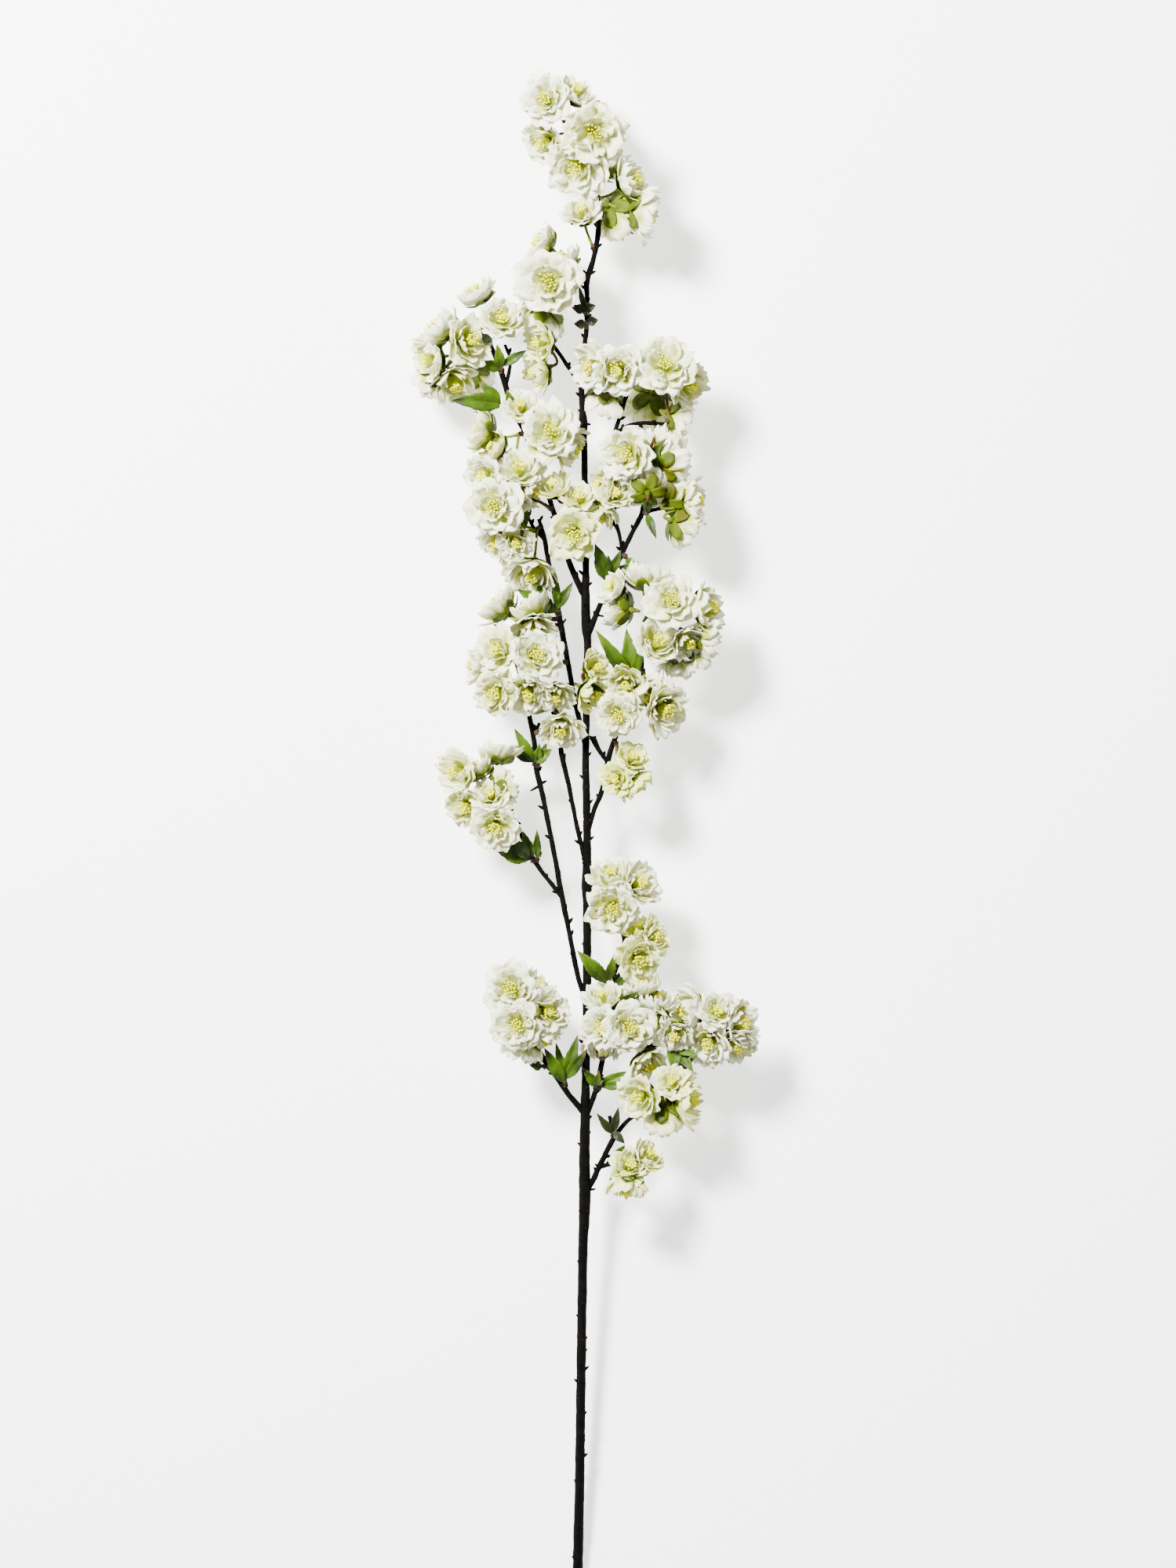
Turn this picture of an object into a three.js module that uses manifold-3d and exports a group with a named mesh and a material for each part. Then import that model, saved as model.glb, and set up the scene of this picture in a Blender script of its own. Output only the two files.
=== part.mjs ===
// A cut spray of double white cherry blossom, lying on a surface: one woody stem with its twigs and
// bloom stalks, bunches of double blooms, and tufts of toothed leaves.
// X runs across the spray, Y from the cut end to the tip, and Z up from the surface. Millimetres.

import * as THREE from "three";
import { mergeVertices } from "three/addons/utils/BufferGeometryUtils.js";
import Module from "manifold-3d";

const wasm = await Module();
wasm.setup();

// Places are given across and down, in pixels of a picture of the spray seen from above.
const PIXEL = 0.6;
const MIDDLE_ACROSS = 745.73;
const MIDDLE_DOWN = 1099.23;

const CLEARANCE = 0.5;
const MAIN_SIDES = 6;
const TWIG_SIDES = 4;
const STUB_SIDES = 3;
const STALK_SIDES = 3;
const STALK_RADIUS = 0.95;
const CALYX_RADIUS = 4.2;
const CALYX_LENGTH = 6.5;
const PETALS = 5;
const LEAF_THICKNESS = 0.8;
const PEG_WIDTH = 3.4;
const PEG_TOP_WIDTH = 4.1;
const BLOOM_PEG = 6;
const TUFT_PEG = 7;
const STALKS_START = 0.65;
const LEAVES_START = 0.3;
const LEAVES_SPAN = 0.6;
const SLIVER = 0.4;

const BARK = new THREE.MeshStandardMaterial({ color: 0x35261c, roughness: 0.85, metalness: 0 });
const PETAL = new THREE.MeshStandardMaterial({ color: 0xf6f5ec, roughness: 0.7, metalness: 0 });
const LEAF = new THREE.MeshStandardMaterial({ color: 0x55700f, roughness: 0.6, metalness: 0 });

const place = (across, down, height) =>
  new THREE.Vector3((across - MIDDLE_ACROSS) * PIXEL, (MIDDLE_DOWN - down) * PIXEL, height);

// A small random number generator with a fixed seed, so that the spray is the same each time.
function seeded(seed) {
  let state = seed;
  return () => {
    state = (state * 1664525 + 1013904223) % 4294967296;
    return state / 4294967296;
  };
}

const draw = seeded(11);
const between = (low, high) => low + (high - low) * draw();

// A closed surface made of rings. Each ring's points run anticlockwise about the way it is joined on,
// and carry how far round they are, so that rings of different counts can be joined.
class Shell {
  constructor() {
    this.points = [];
    this.faces = [];
  }

  ring(points, turns = points.map((_, index) => index / points.length)) {
    const first = this.points.length;
    this.points.push(...points);
    return points.map((_, index) => ({ index: first + index, turn: turns[index] }));
  }

  face(a, b, c) {
    if (a !== b && b !== c && c !== a) this.faces.push(a, b, c);
  }

  // Joins two chains of points by always stepping along the one that is behind.
  zip(lower, upper) {
    let i = 0;
    let j = 0;
    while (i < lower.length - 1 || j < upper.length - 1) {
      const upperDone = j === upper.length - 1;
      const lowerDone = i === lower.length - 1;
      if (upperDone || (!lowerDone && lower[i + 1].turn <= upper[j + 1].turn)) {
        this.face(lower[i].index, lower[i + 1].index, upper[j].index);
        i += 1;
      } else {
        this.face(lower[i].index, upper[j + 1].index, upper[j].index);
        j += 1;
      }
    }
  }

  join(lower, upper) {
    const close = (ring) => {
      if (ring.length === 1) return ring;
      return [...ring, { index: ring[0].index, turn: ring[0].turn + 1 }];
    };
    this.zip(close(lower), close(upper));
  }

  cap(ring, facingBack) {
    for (let index = 1; index < ring.length - 1; index += 1) {
      const near = ring[index].index;
      const far = ring[index + 1].index;
      if (facingBack) this.face(ring[0].index, far, near);
      else this.face(ring[0].index, near, far);
    }
  }

  solid() {
    const mesh = new wasm.Mesh({
      numProp: 3,
      vertProperties: new Float32Array(this.points.flatMap((point) => point.toArray())),
      triVerts: new Uint32Array(this.faces),
    });
    return new wasm.Manifold(mesh);
  }
}

// Frames that run along a line of points without twisting: the way ahead and two ways across.
function framesAlong(points) {
  let side = null;
  return points.map((point, index) => {
    const before = points[Math.max(index - 1, 0)];
    const after = points[Math.min(index + 1, points.length - 1)];
    const ahead = after.clone().sub(before).normalize();
    if (side === null) {
      side = Math.abs(ahead.z) < 0.8 ? new THREE.Vector3(0, 0, 1) : new THREE.Vector3(1, 0, 0);
    }
    side = side.clone().addScaledVector(ahead, -side.dot(ahead)).normalize();
    return { point, ahead, side, other: ahead.clone().cross(side) };
  });
}

function circleAbout(frame, radius, sides) {
  return Array.from({ length: sides }, (_, index) => {
    const angle = ((index + 0.5) / sides) * Math.PI * 2;
    return frame.point
      .clone()
      .addScaledVector(frame.side, radius * Math.cos(angle))
      .addScaledVector(frame.other, radius * Math.sin(angle));
  });
}

// A limb of wood, round in section, thicker or thinner at each point of its line.
function limbSolid(line, sides, grow) {
  const shell = new Shell();
  const frames = framesAlong(line.map((station) => station.point));
  frames[0].point = frames[0].point.clone().addScaledVector(frames[0].ahead, -grow);
  const last = frames[frames.length - 1];
  last.point = last.point.clone().addScaledVector(last.ahead, grow);
  const rings = frames.map((frame, index) => {
    const radius = line[index].width / 2 + grow;
    return shell.ring(circleAbout(frame, radius, sides));
  });
  shell.cap(rings[0], true);
  for (let index = 1; index < rings.length; index += 1) shell.join(rings[index - 1], rings[index]);
  shell.cap(rings[rings.length - 1], false);
  return shell.solid();
}

// The main stem: across, down, height and width at each point, from the cut end to the tip.
const STEM = [
  [735, 2100, 2.7, 6.4], [736, 2050, 2.7, 6.4], [737, 2000, 7, 6.3], [739.5, 1880, 17, 6.0],
  [741.5, 1730, 26, 5.8], [743.5, 1600, 34, 6.0], [745, 1560, 37, 6.6], [746, 1520, 39, 7.4],
  [745.5, 1480, 41, 6.6], [746.5, 1420, 43, 6.0], [747, 1380, 44, 5.1], [748, 1300, 46, 5.1],
  [748.5, 1270, 46.5, 5.4], [749, 1200, 47, 5.1], [749, 1150, 47.5, 5.6], [749, 1130, 47.5, 6.9],
  [749, 1100, 48, 5.4], [748.5, 1040, 48, 4.8], [747, 960, 48, 4.4], [749.5, 830, 49, 4.5],
  [748, 800, 49, 6.0], [746.5, 760, 49, 5.7], [747.5, 720, 49, 4.2], [746, 615, 50, 4.0],
  [745, 560, 50, 4.0], [744, 540, 50, 5.0], [743, 520, 50, 4.0], [741, 480, 50, 3.6],
  [744, 455, 50, 3.2], [748, 420, 50, 3.2], [749, 380, 50, 3.0], [748.5, 358, 50, 3.8],
  [757, 330, 51, 3.4], [763, 295, 51, 3.4], [762, 262, 51, 2.9], [757, 254, 51, 2.6],
  [745, 246, 52, 2.4], [733, 215, 53, 2.3], [727, 175, 54, 2.2],
];

// Side branches, each rooted in the wood nearest its first point. Their tips end up rise above their roots.
const BRANCHES = {
  low_right: { rise: 8, line: [
    [749, 1522, 3.6], [756, 1508, 3.2], [764, 1490, 3.0], [783, 1453, 2.6], [802, 1429, 2.2],
    [820, 1421, 1.8]] },
  low_right_twig: { rise: 3, line: [[764, 1490, 2.4], [784, 1487, 2.2], [793, 1505, 2.0]] },
  low_right_bud: { rise: 4, line: [[783, 1453, 2.0], [777, 1424, 1.8]] },
  low_left: { rise: 8, line: [
    [744, 1422, 3.6], [727, 1399, 3.2], [710, 1375, 2.8], [698, 1358, 3.0], [685, 1337, 2.4]] },
  middle_right: { rise: 8, line: [
    [748, 1425, 3.4], [759, 1395, 2.8], [768, 1355, 3.0], [775, 1310, 2.6], [780, 1255, 2.6],
    [790, 1225, 2.4], [796, 1200, 2.2], [792, 1186, 2.0]] },
  middle_right_side: { rise: 2, line: [
    [770, 1350, 2.6], [788, 1341, 2.4], [820, 1338, 2.4], [853, 1328, 2.2], [880, 1311, 2.0]] },
  middle_right_low: { rise: -2, line: [[820, 1338, 2.2], [836, 1352, 2.0], [850, 1372, 2.0]] },
  long_left: { rise: -6, line: [
    [745, 1278, 3.2], [737, 1245, 2.8], [726, 1190, 2.6], [717, 1145, 3.0], [706, 1085, 2.6],
    [692, 1015, 2.8], [684, 980, 3.0], [681, 945, 2.8], [672, 900, 2.6]] },
  long_left_bud: { rise: 3, line: [[681, 940, 2.0], [688, 922, 1.8]] },
  left_fork: { rise: -4, line: [
    [717, 1145, 2.6], [697, 1120, 2.4], [684, 1102, 2.6], [666, 1068, 2.6], [650, 1035, 2.4],
    [639, 1022, 2.2]] },
  inner_left: { rise: 6, line: [
    [746, 1108, 2.8], [735, 1050, 2.4], [725, 1000, 2.4], [717, 965, 2.8], [712, 935, 2.4],
    [707, 905, 2.2]] },
  left_arm: { rise: -3, line: [
    [746, 948, 3.2], [737, 910, 2.8], [727, 860, 2.8], [716, 800, 3.2], [706, 750, 2.8], [700, 720, 2.6],
    [694, 685, 2.6], [687, 661, 2.2]] },
  left_arm_scale_twig: { rise: 5, line: [[694, 688, 2.0], [680, 672, 1.8], [668, 645, 1.6]] },
  upper_left: { rise: 4, line: [
    [745, 763, 3.4], [728, 722, 3.2], [711, 668, 2.8], [698, 628, 2.8], [684, 592, 2.6], [670, 552, 2.8],
    [652, 520, 2.6], [645, 492, 3.0], [632, 455, 2.6], [626, 441, 2.6]] },
  upper_left_red_twig: { rise: 8, line: [[646, 492, 2.0], [651, 462, 1.8], [644, 440, 1.6]] },
  upper_left_low_twig: { rise: 6, line: [[706, 652, 1.9], [684, 638, 1.7], [664, 645, 1.6]] },
  tip_left: { rise: -3, line: [[742, 492, 2.4], [722, 463, 2.2], [704, 437, 2.0]] },
  long_right: { rise: 4, line: [
    [749, 812, 3.6], [762, 780, 3.0], [776, 745, 2.8], [791, 711, 2.8], [806, 680, 2.6], [820, 650, 2.8],
    [818, 620, 2.4], [800, 590, 2.4], [784, 560, 2.4], [793, 525, 2.2], [803, 492, 2.0]] },
  long_right_twig: { rise: 2, line: [[786, 551, 2.2], [810, 540, 2.0], [848, 541, 2.0]] },
  long_right_side: { rise: 4, line: [[820, 655, 2.2], [845, 648, 2.0], [870, 644, 1.8]] },
  long_right_inner: { rise: 4, line: [[795, 706, 2.2], [788, 675, 2.0], [776, 660, 1.8]] },
  lower_right: { rise: -3, line: [
    [750, 1065, 3.0], [757, 1035, 2.6], [768, 1008, 2.8], [776, 968, 3.0], [784, 943, 2.6], [802, 895, 2.6],
    [818, 857, 2.6], [818, 825, 2.4], [830, 800, 2.4], [847, 790, 2.0]] },
  lower_right_bud: { rise: 4, line: [[774, 972, 2.2], [763, 955, 2.4], [756, 940, 3.6]] },
};

// Short broken stubs and spurs: where they stand, and where they point.
const STUBS = [
  [[747, 1519], [760, 1518]], [[764, 1490], [759, 1486]], [[720, 1390], [724, 1384]],
  [[763, 1382], [771, 1375]], [[684, 1003], [676, 1009]], [[688, 1000], [697, 996]],
  [[655, 1048], [664, 1051]], [[720, 975], [721, 961]], [[713, 800], [704, 794]],
  [[717, 797], [722, 789]], [[763, 785], [770, 786]], [[790, 714], [784, 718]],
  [[745, 508], [750, 502]], [[747, 540], [753, 541]], [[741, 538], [736, 535]],
  [[748, 352], [744, 344]],
];

// The bunches of blooms. knots are where their stalks leave the wood, across and down. Each bloom has its
// middle across, down and at a height, its width, how far it leans from facing up, the compass turn that
// it leans towards (0 is across, 90 is up the spray), and which knot it hangs on.
const BUNCHES = {
  a: { knots: [[757, 254], [727, 176], [759, 322]], blooms: [
    [696, 130, 70, 37, 15, 160, 1], [757, 174, 76, 44, 15, 300, 1], [694, 182, 60, 30, 45, 215, 1],
    [736, 214, 66, 40, 30, 240, 1], [742, 272, 64, 26, 40, 105, 2], [733, 118, 58, 26, 60, 60, 1],
    [762, 150, 56, 30, 70, 45, 1], [788, 272, 46, 34, 130, 320, 0], [822, 272, 56, 34, 95, 350, 0],
    [806, 232, 58, 31, 70, 30, 0], [775, 205, 50, 30, 110, 40, 0]] },
  b: { knots: [[748, 358]], blooms: [
    [700, 362, 76, 47, 8, 180, 0], [690, 312, 56, 26, 85, 150, 0], [718, 332, 58, 24, 80, 120, 0],
    [672, 368, 54, 30, 100, 190, 0], [690, 405, 42, 34, 120, 250, 0]] },
  c: { knots: [[704, 437]], blooms: [[690, 436, 60, 25, 55, 190, 0], [685, 473, 50, 26, 75, 200, 0]] },
  d: { knots: [[626, 441]], blooms: [
    [609, 374, 62, 24, 75, 120, 0], [640, 409, 72, 31, 20, 60, 0], [598, 436, 72, 36, 35, 10, 0],
    [560, 420, 54, 30, 80, 140, 0], [548, 457, 54, 30, 60, 190, 0], [578, 488, 48, 29, 55, 290, 0],
    [548, 490, 38, 24, 110, 230, 0], [600, 475, 10.3, 26, 150, 270, 0]] },
  e: { knots: [[803, 492], [848, 541]], blooms: [
    [756, 468, 66, 32, 50, 190, 0], [789, 474, 74, 36, 20, 200, 0], [848, 468, 78, 42, 12, 90, 0],
    [878, 492, 66, 28, 55, 330, 1], [834, 508, 15, 38, 150, 270, 0], [772, 510, 44, 28, 120, 260, 0],
    [868, 532, 46, 28, 100, 340, 1], [815, 462, 58, 28, 70, 90, 0]] },
  f: { knots: [[661, 538], [743, 538]], blooms: [
    [664, 520, 64, 26, 35, 105, 0], [703, 552, 76, 42, 15, 100, 1], [730, 570, 60, 26, 80, 330, 1]] },
  g: { knots: [[670, 552]], blooms: [[614, 550, 54, 28, 100, 165, 0], [630, 572, 60, 22, 70, 150, 0]] },
  h: { knots: [[684, 592], [706, 652], [689, 670]], blooms: [
    [619, 607, 68, 27, 30, 200, 0], [662, 600, 66, 32, 35, 90, 0], [656, 637, 72, 24, 50, 20, 0],
    [680, 628, 64, 20, 70, 340, 1], [631, 648, 78, 40, 10, 200, 0], [632, 692, 58, 22, 60, 235, 2],
    [657, 692, 66, 24, 25, 300, 2], [653, 715, 60, 16, 50, 250, 2], [678, 732, 62, 32, 55, 260, 2]] },
  i: { knots: [[746, 615], [747, 705], [794, 580]], blooms: [
    [707, 622, 64, 22, 55, 110, 0], [738, 637, 72, 23, 35, 95, 0], [733, 682, 74, 37, 15, 250, 1],
    [784, 632, 68, 23, 30, 60, 2], [768, 620, 60, 25, 60, 170, 2], [764, 656, 60, 24, 80, 260, 1]] },
  j: { knots: [[804, 597], [820, 646], [836, 541], [864, 645]], blooms: [
    [800, 580, 78, 36, 20, 200, 0], [850, 568, 50, 28, 110, 60, 2], [826, 622, 66, 27, 150, 90, 1],
    [852, 592, 60, 30, 130, 20, 2], [858, 632, 54, 28, 130, 45, 3], [886, 640, 60, 26, 80, 0, 3],
    [872, 670, 56, 30, 115, 340, 3], [792, 606, 62, 24, 100, 250, 0]] },
  k: { knots: [[766, 768], [820, 818], [847, 790]], blooms: [
    [782, 750, 66, 22, 60, 150, 0], [826, 736, 62, 31, 100, 80, 2], [790, 776, 58, 26, 115, 170, 0],
    [856, 767, 76, 37, 10, 90, 2], [902, 776, 64, 30, 65, 10, 2], [838, 820, 72, 34, 35, 50, 1],
    [876, 820, 68, 26, 50, 330, 2], [904, 812, 56, 28, 95, 345, 2], [884, 842, 48, 26, 110, 300, 2],
    [861, 852, 50, 22, 95, 268, 2]] },
  l: { knots: [[714, 790], [724, 845], [672, 900], [707, 905]], blooms: [
    [637, 773, 60, 28, 100, 140, 0], [676, 776, 58, 28, 100, 120, 0], [680, 803, 62, 32, 50, 280, 0],
    [636, 830, 72, 32, 30, 160, 2], [684, 837, 76, 36, 15, 30, 1], [606, 850, 58, 22, 80, 170, 2],
    [633, 883, 70, 31, 25, 220, 2], [675, 884, 70, 31, 35, 260, 2], [708, 888, 66, 26, 45, 275, 3],
    [716, 930, 66, 28, 40, 270, 3]] },
  m: { knots: [[748, 885]], blooms: [[760, 853, 66, 22, 50, 20, 0], [754, 884, 60, 25, 70, 330, 0]] },
  n: { knots: [[802, 895], [818, 850]], blooms: [
    [798, 871, 68, 25, 35, 260, 0], [788, 912, 72, 32, 12, 250, 0], [819, 886, 60, 24, 80, 330, 1],
    [847, 905, 66, 34, 40, 340, 1], [843, 882, 54, 25, 110, 60, 1]] },
  o: { knots: [[784, 943]], blooms: [
    [806, 967, 62, 22, 40, 60, 0], [786, 993, 66, 23, 20, 190, 0], [810, 1000, 56, 24, 95, 310, 0]] },
  p: { knots: [[640, 1022]], blooms: [
    [583, 984, 60, 32, 45, 180, 0], [609, 980, 56, 22, 90, 120, 0], [636, 960, 56, 24, 100, 90, 0],
    [640, 1004, 56, 22, 130, 30, 0], [626, 1014, 66, 24, 35, 110, 0], [594, 1028, 62, 28, 30, 230, 0],
    [632, 1054, 68, 34, 20, 260, 0]] },
  q: { knots: [[750, 1125]], blooms: [
    [779, 1117, 64, 28, 50, 95, 0], [815, 1127, 64, 29, 45, 30, 0], [782, 1158, 70, 37, 12, 250, 0]] },
  r: { knots: [[794, 1190]], blooms: [
    [812, 1184, 60, 22, 60, 90, 0], [834, 1196, 60, 24, 50, 20, 0], [814, 1222, 66, 30, 25, 300, 0]] },
  s: { knots: [[686, 1338]], blooms: [
    [653, 1260, 72, 38, 15, 150, 0], [685, 1262, 62, 28, 70, 50, 0], [698, 1290, 68, 31, 25, 20, 0],
    [660, 1306, 76, 35, 10, 220, 0], [690, 1326, 60, 22, 80, 300, 0], [666, 1336, 54, 26, 110, 250, 0],
    [668, 1284, 42, 34, 110, 120, 0]] },
  t: { knots: [[777, 1290], [772, 1335], [806, 1339]], blooms: [
    [769, 1273, 60, 27, 55, 105, 0], [767, 1310, 72, 30, 15, 190, 0], [802, 1309, 76, 36, 8, 0, 1],
    [770, 1334, 62, 25, 70, 265, 1], [838, 1302, 66, 26, 50, 220, 2], [860, 1318, 70, 25, 35, 260, 2],
    [836, 1276, 58, 26, 75, 80, 2], [818, 1258, 58, 24, 80, 100, 2]] },
  u: { knots: [[879, 1311]], blooms: [
    [877, 1290, 60, 31, 70, 170, 0], [914, 1289, 72, 27, 20, 60, 0], [904, 1328, 66, 31, 30, 230, 0],
    [944, 1306, 62, 30, 50, 10, 0], [941, 1332, 60, 26, 45, 290, 0], [900, 1346, 52, 22, 80, 265, 0]] },
  v: { knots: [[822, 1342], [850, 1372]], blooms: [
    [825, 1356, 58, 25, 60, 305, 0], [816, 1398, 66, 30, 35, 200, 1], [856, 1379, 70, 22, 20, 90, 1],
    [877, 1403, 60, 32, 80, 0, 1], [848, 1421, 54, 28, 130, 280, 1]] },
  w: { knots: [[793, 1504]], blooms: [
    [804, 1486, 62, 26, 25, 70, 0], [826, 1474, 58, 22, 60, 40, 0], [799, 1514, 60, 25, 85, 265, 0]] },
};

// Tufts of leaves. root is the spot on the wood that a tuft grows from. Each leaf has the place of its tip
// across and down, how far the tip rises above the root, and its width.
const TUFTS = {
  stem_bud: { root: [748, 405], leaves: [
    [728, 391, 8, 6], [760, 390, 9, 6], [733, 414, 5, 6], [764, 409, 4, 6]] },
  upper_left: { root: [649, 518], leaves: [[576, 512, 16, 14], [610, 487, 6, 7]] },
  upper_left_tip: { root: [641, 478], leaves: [[612, 462, 8, 7], [634, 440, 12, 6], [672, 447, 6, 6]] },
  long_right_end: { root: [813, 604], leaves: [[850, 560, 20, 7]] },
  long_right_middle: { root: [772, 748], leaves: [
    [759, 694, 13, 10], [776, 708, 7, 6], [792, 702, 12, 7], [815, 716, 4, 6]] },
  left_arm: { root: [714, 788], leaves: [[660, 752, 14, 11], [731, 742, 8, 6]] },
  lower_right: { root: [807, 878], leaves: [[760, 804, 16, 9], [799, 802, 10, 10], [822, 812, 14, 6]] },
  long_left: { root: [684, 981], leaves: [
    [656, 929, 10, 7], [650, 950, 4, 8], [704, 956, 11, 9]] },
  left_fork: { root: [684, 1102], leaves: [
    [667, 1060, 10, 7], [630, 1082, 9, 11], [648, 1066, 16, 8]] },
  middle_right_top: { root: [779, 1262], leaves: [[736, 1212, 12, 9], [784, 1216, 16, 6]] },
  low_left: { root: [720, 1390], leaves: [
    [694, 1336, 12, 8], [709, 1330, 7, 6], [737, 1320, 10, 8], [749, 1338, 14, 7]] },
  low_left_end: { root: [700, 1362], leaves: [[675, 1358, 8, 6]] },
  middle_right_low: { root: [760, 1394], leaves: [
    [743, 1362, 9, 6], [799, 1367, 8, 8], [805, 1382, 12, 6]] },
  middle_right_side: { root: [850, 1372], leaves: [[889, 1344, 4, 8]] },
};

// The wood's lines, as points with a width, kept so that twigs, stalks and leaves can find their roots.
const woodLines = [];

function onWood(across, down) {
  const wanted = place(across, down, 0);
  let best = { gap: Infinity };
  for (const line of woodLines) {
    for (let index = 1; index < line.length; index += 1) {
      const start = line[index - 1].point;
      const run = line[index].point.clone().sub(start);
      const flat = new THREE.Vector3(run.x, run.y, 0);
      const away = wanted.clone().sub(start).setZ(0);
      const share = THREE.MathUtils.clamp(away.dot(flat) / flat.lengthSq(), 0, 1);
      const point = start.clone().addScaledVector(run, share);
      const gap = Math.hypot(point.x - wanted.x, point.y - wanted.y);
      const width = THREE.MathUtils.lerp(line[index - 1].width, line[index].width, share);
      if (gap < best.gap) best = { gap, point, width };
    }
  }
  return best;
}

function branchLine(rise, line) {
  const root = onWood(line[0][0], line[0][1]).point;
  const spots = line.map(([across, down]) => place(across, down, 0));
  const reach = spots.map((spot, index) => (index === 0 ? 0 : spot.distanceTo(spots[index - 1])));
  const total = reach.reduce((sum, step) => sum + step, 0);
  let gone = 0;
  return line.map(([, , width], index) => {
    gone += reach[index];
    const point = spots[index].clone().setZ(root.z + (rise * gone) / total);
    return { point: index === 0 ? root.clone() : point, width };
  });
}

function stubLine([[across, down], [tipAcross, tipDown]]) {
  const root = onWood(across, down);
  const tip = place(tipAcross, tipDown, root.point.z + 1.5);
  return [{ point: root.point.clone(), width: 2.6 }, { point: tip, width: 1.4 }];
}

function growWood() {
  const stem = STEM.map(([across, down, height, width]) => ({ point: place(across, down, height), width }));
  woodLines.push(stem);
  const limbs = [{ line: stem, sides: MAIN_SIDES }];
  for (const { rise, line } of Object.values(BRANCHES)) {
    const limb = branchLine(rise, line);
    woodLines.push(limb);
    limbs.push({ line: limb, sides: TWIG_SIDES });
  }
  for (const stub of STUBS) limbs.push({ line: stubLine(stub), sides: STUB_SIDES });
  return limbs;
}

// How a bloom's rings lie, as shares of its radius, when it is wide open and when it is cupped.
const OPEN = { back: -0.36, tip: 0.02, notch: 0.12, valley: 0.06, crown: 0.42, dip: 0.24, middle: 0.2 };
const CUPPED = { back: -0.62, tip: 0.34, notch: 0.3, valley: 0.2, crown: 0.6, dip: 0.42, middle: 0.3 };
const RIM_NOTCH = 0.76;
const VALLEY = 0.68;
const CROWN_TIP = 0.6;
const CROWN_DIP = 0.4;
const FULL_WIDTH = 35;
const FULL_LEAN = 25;
const SMALL_WIDTH = 25;
const HIDDEN_LEAN = 95;
const CUPPED_LEAN = 75;
const SHORT_STALK = 17;

function layOutBloom([across, down, height, width, lean, towards], root) {
  const tilt = THREE.MathUtils.degToRad(lean);
  const turn = THREE.MathUtils.degToRad(towards);
  const flat = Math.sin(tilt);
  const axis = new THREE.Vector3(flat * Math.cos(turn), flat * Math.sin(turn), Math.cos(tilt));
  const openness = THREE.MathUtils.clamp(lean / CUPPED_LEAN, 0.1, 1);
  const shape = {};
  for (const key of Object.keys(OPEN)) shape[key] = THREE.MathUtils.lerp(OPEN[key], CUPPED[key], openness);
  const centre = place(across, down, height);
  const radius = width / 2;
  const cup = Math.min(CALYX_RADIUS, radius * 0.36);
  const back = centre.clone().addScaledVector(axis, shape.back * radius);
  const neck = back.clone().addScaledVector(axis, -CALYX_LENGTH);
  const reach = neck.distanceTo(root);
  const bend = neck.clone().addScaledVector(axis, -0.45 * reach);
  const curve = new THREE.QuadraticBezierCurve3(root, bend, neck);
  return {
    centre,
    axis,
    radius,
    cup,
    full: width >= FULL_WIDTH && lean <= FULL_LEAN,
    small: width < SMALL_WIDTH || lean > HIDDEN_LEAN,
    shape,
    stalk: curve.getPoints(reach > SHORT_STALK ? 2 : 1),
    spin: draw(),
    reach: Array.from({ length: PETALS }, () => between(0.92, 1.06)),
    lift: Array.from({ length: PETALS }, () => between(-0.06, 0.08)),
  };
}

// The rings of the petals about a bloom's axis: turn, share of the radius, and share of it upwards.
function petalRings({ shape, full, small, reach, lift }) {
  const rim = [];
  const valley = [];
  const crown = [];
  for (let petal = 0; petal < PETALS; petal += 1) {
    rim.push([petal / PETALS, RIM_NOTCH, shape.notch]);
    if (full) {
      rim.push([(petal + 0.3) / PETALS, reach[petal] * 0.98, shape.tip + lift[petal]]);
      rim.push([(petal + 0.7) / PETALS, reach[petal] * 0.98, shape.tip + lift[petal] * 0.5]);
      valley.push([petal / PETALS, VALLEY - 0.04, shape.valley + 0.08]);
      valley.push([(petal + 0.5) / PETALS, VALLEY, shape.valley]);
    } else {
      rim.push([(petal + 0.5) / PETALS, reach[petal], shape.tip + lift[petal]]);
    }
    crown.push([petal / PETALS, CROWN_TIP * reach[petal], shape.crown + lift[petal]]);
    if (!small) crown.push([(petal + 0.5) / PETALS, CROWN_DIP, shape.dip]);
  }
  return { rim, valley, crown };
}

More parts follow.
